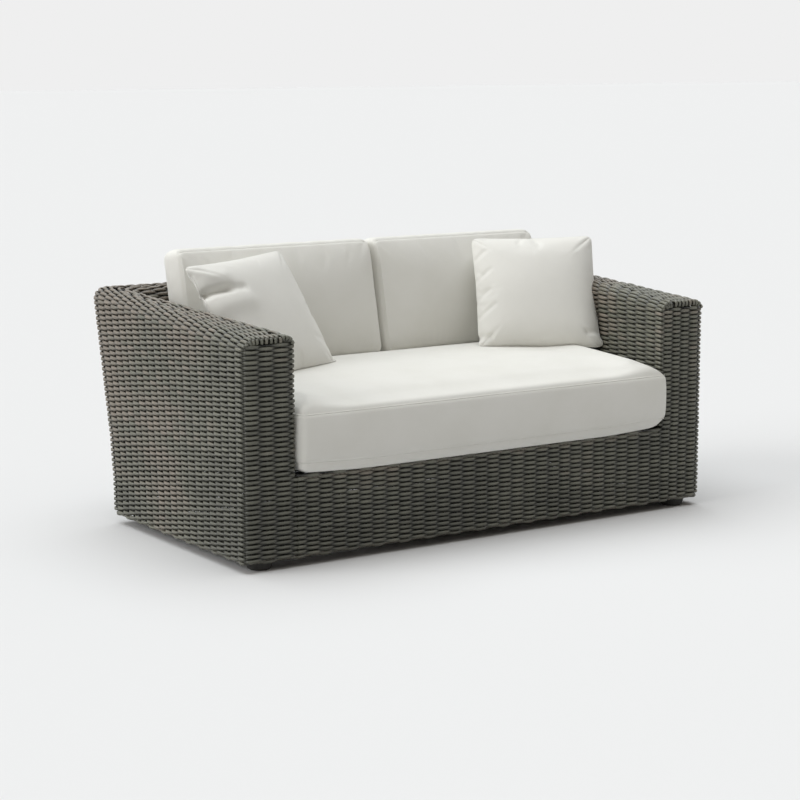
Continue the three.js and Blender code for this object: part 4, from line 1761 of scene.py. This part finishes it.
@dataclass(frozen=True)
class PillowForm:
    """Shape of a knife-edged throw pillow with drawn-in sides."""

    centre: tuple[float, float, float]
    width: float
    height: float
    thickness: float
    heading: float
    lean: float
    roll: float
    ear: tuple[float, float] = (0.0, 0.0)
    seam: float = 0.006
    draw_in: float = 0.030
    corner: float = 0.024
    ear_inset: float = 0.020
    ear_swell: float = 0.010
    ear_reach: float = 0.026
    ear_out: float = 0.012
    puff_power: float = 0.5
    start_share: float = 0.92

    def axes(self) -> tuple[Array, Array, Array]:
        """Directions across, up and out of the pillow."""
        turn, tilt, spin = (math.radians(v) for v in (self.heading, self.lean, self.roll))
        out = np.array(
            [math.sin(turn) * math.cos(tilt), -math.cos(turn) * math.cos(tilt), math.sin(tilt)]
        )
        level = np.array([math.cos(turn), math.sin(turn), 0.0])
        across = level * math.cos(spin) + np.cross(out, level) * math.sin(spin)
        return across, np.cross(out, across), out

    def shape(self, a: Array, b: Array, c: Array) -> Array:
        """Places of the cover, as for the other forms."""
        across, up, out = self.axes()
        half_x, half_y = self.width / 2.0, self.height / 2.0
        x, rise, ring, _, _ = rounded_plan(a, b, half_x, half_y, self.corner)
        x = x * (1.0 - self.draw_in * (1.0 - (rise / half_y) ** 2))
        rise = rise * (1.0 - self.draw_in * (1.0 - (x / half_x) ** 2))
        puff = np.clip((1.0 - a * a) * (1.0 - b * b), 0.0, 1.0) ** self.puff_power
        share = self.start_share
        tip = np.hypot(x - self.ear[0] * half_x, rise - self.ear[1] * half_y)
        x = x + self.ear[0] * self.ear_out * np.exp(-((tip / self.ear_reach) ** 2))
        ear_x = self.ear[0] * (half_x - self.ear_inset)
        ear_y = self.ear[1] * (half_y - self.ear_inset)
        from_ear = np.hypot(x - ear_x, rise - ear_y)
        lobe = self.ear_swell * np.exp(-((from_ear / self.ear_reach) ** 2)) * np.sqrt(1.0 - ring**6)
        deep = c * (self.seam / 2.0 + (self.thickness * share - self.seam) / 2.0 * puff + lobe)
        return (
            np.array(self.centre)
            + x[:, None] * across
            + rise[:, None] * up
            + deep[:, None] * out
        )


@dataclass
class Cushions:
    """The seat cushion, two back cushions and two throw pillows."""

    shell: Shell
    finishes: Finishes
    back_inset: float = 0.0108
    welt: float = 0.0021
    pillow_welt: float = 0.0022
    pillow_cap: float = 0.022
    pillow_crowding: float = 1.15
    seam_rise: float = 0.1865
    crown_rise: float = 0.038

    def make(self) -> None:
        """Builds all five, each clear of those it leans on."""
        seat = Cushion(
            "seat_pad",
            "seat_cushion",
            Slot.CANVAS,
            SoftGrid(112, 60, 12),
            SeatForm(self.shell).shape,
            fill=0.9,
            growth=-0.004,
            cap=0.006,
            under_hold=1.0,
            welt=self.welt,
        ).make(self.finishes.canvas, None)
        left_box, right_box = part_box("back_cushion_left"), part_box("back_cushion_right")
        backs = [self.back("left", left_box, seat), self.back("right", right_box, seat)]
        keeper = Keeper([seat] + backs)
        left = self.pillow(
            side=-1.0,
            width=0.442,
            height=0.428,
            thickness=0.132,
            arm_inset=0.247,
            back_inset=0.262,
            sink=0.031,
            heading=19.3,
            lean=31.1,
            roll=2.5,
            ear=(-1.0, 1.0),
        )
        right = self.pillow(
            side=1.0,
            width=0.405,
            height=0.394,
            thickness=0.128,
            arm_inset=0.162,
            back_inset=0.285,
            sink=0.002,
            heading=-29.0,
            lean=27.3,
            roll=0.8,
            ear=(1.0, -1.0),
        )
        self.throw("left", left, (64, 60), 0.7, 0.006, self.left_folds(left), keeper)
        self.throw("right", right, (60, 56), 0.75, 0.008, self.right_folds(right), keeper)

    def back(self, side: str, box: tuple[Vector, Vector], seat: Piece) -> Piece:
        """Builds the back cushion of one side, clear of the seat cushion.

        Args:
            side: Word for the side, as in the names of the piece and its body.
            box: Low and high corner of the cushion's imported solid.
            seat: The seat cushion.

        Returns:
            The cushion.
        """
        low, high = box
        form = BackForm(self.shell, low.x + self.back_inset, high.x - self.back_inset)
        return Cushion(
            f"{side}_back_pad",
            f"back_cushion_{side}",
            Slot.CANVAS,
            SoftGrid(64, 36, 10),
            form.shape,
            fill=0.85,
            growth=0.004,
            cap=0.012,
            under_hold=0.8,
            welt=self.welt,
        ).make(self.finishes.canvas, Keeper([seat]))

    def throw(
        self,
        side: str,
        form: PillowForm,
        cells: tuple[int, int],
        fill: float,
        growth: float,
        folds: list[Fold],
        keeper: Keeper,
    ) -> None:
        """Builds the throw pillow of one side.

        Args:
            side: Word for the side, as in the names of the piece and its body.
            form: Shape and place of the pillow.
            cells: Quads across and up each face.
            fill: Share of the cover's room that the filling takes.
            growth: Share by which the cloth is cut larger.
            folds: Folds pressed into the cover.
            keeper: Surfaces to stay clear of.
        """
        Cushion(
            f"{side}_throw",
            f"throw_pillow_{side}",
            Slot.LINEN,
            SoftGrid(*cells, 1, self.pillow_crowding),
            form.shape,
            fill=fill,
            growth=growth,
            cap=self.pillow_cap,
            seam_sink=0.0,
            welt=self.pillow_welt,
            folds=folds,
        ).make(self.finishes.linen, keeper)

    def left_folds(self, form: PillowForm) -> list[Fold]:
        """Deep fold under the stuffed upper corner of the left pillow, and the cloth round it."""
        across, _, out = form.axes()
        front, inwards = tuple(out), tuple(-across)
        valley = ((-1.0, 0.53), (-0.93, 0.53), (-0.62, 0.50))
        return [
            Fold(1, valley, 0.020, 0.050, front),
            Fold(1, valley + ((-0.40, 0.47),), 0.010, 0.055, front),
            Fold(0, ((-1.0, 0.52), (-0.95, 0.52)), 0.012, 0.060, inwards),
            Fold(1, ((-0.88, 0.28), (-0.45, 0.26)), -0.009, 0.150, front),
            Fold(1, ((-0.88, 0.76), (-0.60, 0.72)), -0.009, 0.120, front),
            Fold(1, ((0.92, -0.60), (0.62, -0.48)), 0.003, 0.040, front),
        ]

    def right_folds(self, form: PillowForm) -> list[Fold]:
        """Short pulls off the left seam of the right pillow and its pinched lower corner."""
        across, _, out = form.axes()
        front, inwards = tuple(out), tuple(-across)
        pulls = (
            (0.58, 0.13, 0.0045),
            (0.20, 0.16, 0.0050),
            (-0.14, 0.14, 0.0045),
            (-0.46, 0.18, 0.0060),
        )
        folds = [
            Fold(1, ((-1.0, b), (-1.0 + 1.5 * reach, b + reach)), depth, 0.030, front)
            for b, reach, depth in pulls
        ]
        folds.append(Fold(1, ((-1.0, -0.78), (-0.80, -0.84)), 0.006, 0.055, front))
        folds.append(Fold(0, ((-1.0, -0.80), (-0.97, -0.80)), 0.006, 0.060, inwards))
        folds.append(Fold(1, ((1.0, -0.74), (0.78, -0.80)), 0.005, 0.050, front))
        return folds

    def pillow(
        self,
        side: float,
        width: float,
        height: float,
        thickness: float,
        arm_inset: float,
        back_inset: float,
        sink: float,
        heading: float,
        lean: float,
        roll: float,
        ear: tuple[float, float],
    ) -> PillowForm:
        """Places a pillow from the arm, the back and the seat's crown."""
        crown = self.shell.deck + self.seam_rise + self.crown_rise
        y = float(self.shell.back_at(crown)) - back_inset
        x = side * (float(self.shell.inner_at(y)) - arm_inset)
        z = crown + height / 2.0 * math.cos(math.radians(lean)) - sink
        return PillowForm(
            (x, y + self.shell.front, z), width, height, thickness, heading, lean, roll, ear
        )


# Frame and studio.


@dataclass
class TubeFrame:
    """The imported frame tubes, seat bars, feet and bolts, which keep their solids."""

    finishes: Finishes

    def dress(self) -> None:
        """Gives each kept node its finish."""
        by_slot = {
            Slot.FRAME.value: self.finishes.coat,
            Slot.FOOT.value: self.finishes.foot,
            Slot.BOLT.value: self.finishes.bolt,
        }
        for name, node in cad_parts.items():
            slot = self.slot_of(name)
            if slot not in by_slot:
                continue
            node.data.materials.clear()
            node.data.materials.append(by_slot[slot])
            LOG.info("%s: kept, finish %s", name, slot)

    def slot_of(self, name: str) -> str:
        """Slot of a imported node, from its name."""
        if name.startswith("foot_bolt"):
            return Slot.BOLT.value
        if name.startswith("foot_"):
            return Slot.FOOT.value
        skins = ("weave", "cushion", "pillow")
        return "" if any(word in name for word in skins) else Slot.FRAME.value


@dataclass(frozen=True)
class Lamp:
    """A soft distant lamp: the side it shines from, its strength, colour and spread in degrees."""

    name: str
    towards: tuple[float, float, float]
    power: float
    colour: tuple[float, float, float]
    spread: float

    def hang(self) -> None:
        """Adds the lamp to the scene."""
        data = bpy.data.lights.new(self.name, "SUN")
        data.energy = self.power
        data.color = self.colour
        data.angle = math.radians(self.spread)
        lamp = bpy.data.objects.new(self.name, data)
        bpy.context.scene.collection.objects.link(lamp)
        lamp.rotation_euler = Vector(self.towards).to_track_quat("Z", "Y").to_euler()


@dataclass(frozen=True)
class Studio:
    """Plain pale floor, soft light and the camera of the photograph."""

    front: float
    pale: Colour = linear(239, 239, 239)
    floor_half: float = 60.0
    floor_shown: float = 0.77
    floor_bounce: float = 0.70
    sky_low: float = 0.0
    sky_high: float = 0.57
    sky_colour: Colour = (1.0, 0.93, 0.85, 1.0)
    lamps: tuple[Lamp, ...] = (
        Lamp("top_light", (0.0, 0.22, 1.0), 1.98, (0.94, 1.0, 1.05), 75.0),
        Lamp("side_light", (-0.93, 0.20, 0.33), 1.60, (1.0, 1.0, 1.0), 45.0),
    )
    lens: float = 95.195
    sensor: float = 36.0
    stand: tuple[float, float, float] = (-3.6829, -5.0054, 1.4583)
    pitch: float = -9.4998
    heading: float = -33.8747

    def make(self) -> None:
        """Builds the floor, the light and the camera."""
        self.floor()
        self.world()
        for lamp in self.lamps:
            lamp.hang()
        self.camera()

    def floor(self) -> None:
        """Large plain floor that shows pale and gives less light back than it shows."""
        corners = ((-1, -1), (1, -1), (1, 1), (-1, 1))
        places = np.array([(x * self.floor_half, y * self.floor_half, 0.0) for x, y in corners])
        mesh = mesh_from("studio_floor", places, [np.array([[0, 1, 2, 3]])], [False])
        floor = new_object("studio_floor", mesh)
        graph = Graph("studio_floor")
        light = graph.add("ShaderNodeLightPath")
        mix = graph.add("ShaderNodeMix", data_type="RGBA")
        mix.inputs[6].default_value = (self.floor_bounce,) * 3 + (1.0,)
        mix.inputs[7].default_value = (self.floor_shown,) * 3 + (1.0,)
        graph.join(light.outputs["Is Camera Ray"], mix.inputs[0])
        graph.join(mix.outputs[2], graph.shader.inputs["Base Color"])
        graph.hold("Roughness", 1.0)
        graph.hold("Specular IOR Level", 0.0)
        floor.data.materials.append(graph.material)

    def world(self) -> None:
        """Sky light that grows towards the top and shows pale to the camera."""
        world = bpy.data.worlds.new("studio")
        bpy.context.scene.world = world
        world.use_nodes = True
        nodes = Nodes(world.node_tree)
        split = nodes.add("ShaderNodeSeparateXYZ")
        nodes.join(nodes.add("ShaderNodeTexCoord").outputs["Generated"], split.inputs[0])
        rise = nodes.add("ShaderNodeMapRange")
        rise.inputs["To Min"].default_value = self.sky_low
        rise.inputs["To Max"].default_value = self.sky_high
        nodes.join(split.outputs["Z"], rise.inputs["Value"])
        sky, shown = (nodes.add("ShaderNodeBackground") for _ in range(2))
        sky.inputs["Color"].default_value = self.sky_colour
        nodes.join(rise.outputs["Result"], sky.inputs["Strength"])
        shown.inputs["Color"].default_value = self.pale
        light = nodes.add("ShaderNodeLightPath")
        seen = nodes.add("ShaderNodeMath", operation="MAXIMUM")
        nodes.join(light.outputs["Is Camera Ray"], seen.inputs[0])
        nodes.join(light.outputs["Is Glossy Ray"], seen.inputs[1])
        mix = nodes.add("ShaderNodeMixShader")
        for number, node in enumerate((seen, sky, shown)):
            nodes.join(node.outputs[0], mix.inputs[number])
        nodes.join(mix.outputs[0], nodes.add("ShaderNodeOutputWorld").inputs["Surface"])

    def camera(self) -> None:
        """Sets the camera that matches the photograph."""
        data = bpy.data.cameras.new("photo_camera")
        data.lens = self.lens
        data.sensor_width = self.sensor
        camera = bpy.data.objects.new("photo_camera", data)
        bpy.context.scene.collection.objects.link(camera)
        x, y, z = self.stand
        camera.location = (x, self.front + y, z)
        camera.rotation_euler = (
            math.radians(90.0 + self.pitch),
            0.0,
            math.radians(self.heading),
        )
        bpy.context.scene.camera = camera


def main() -> None:
    """Builds the sofa's looks in order and reports each piece."""
    logging.basicConfig(level=logging.INFO, format="%(name)s %(message)s")
    bpy.context.scene.view_settings.view_transform = "Standard"
    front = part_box("left_arm_weave")[0].y
    shell = Shell(front)
    finishes = Finishes()
    Studio(front).make()
    TubeFrame(finishes).dress()
    WovenWalls(shell).make(finishes.strand)
    Cushions(shell, finishes).make()


if __name__ == "__main__":
    main()
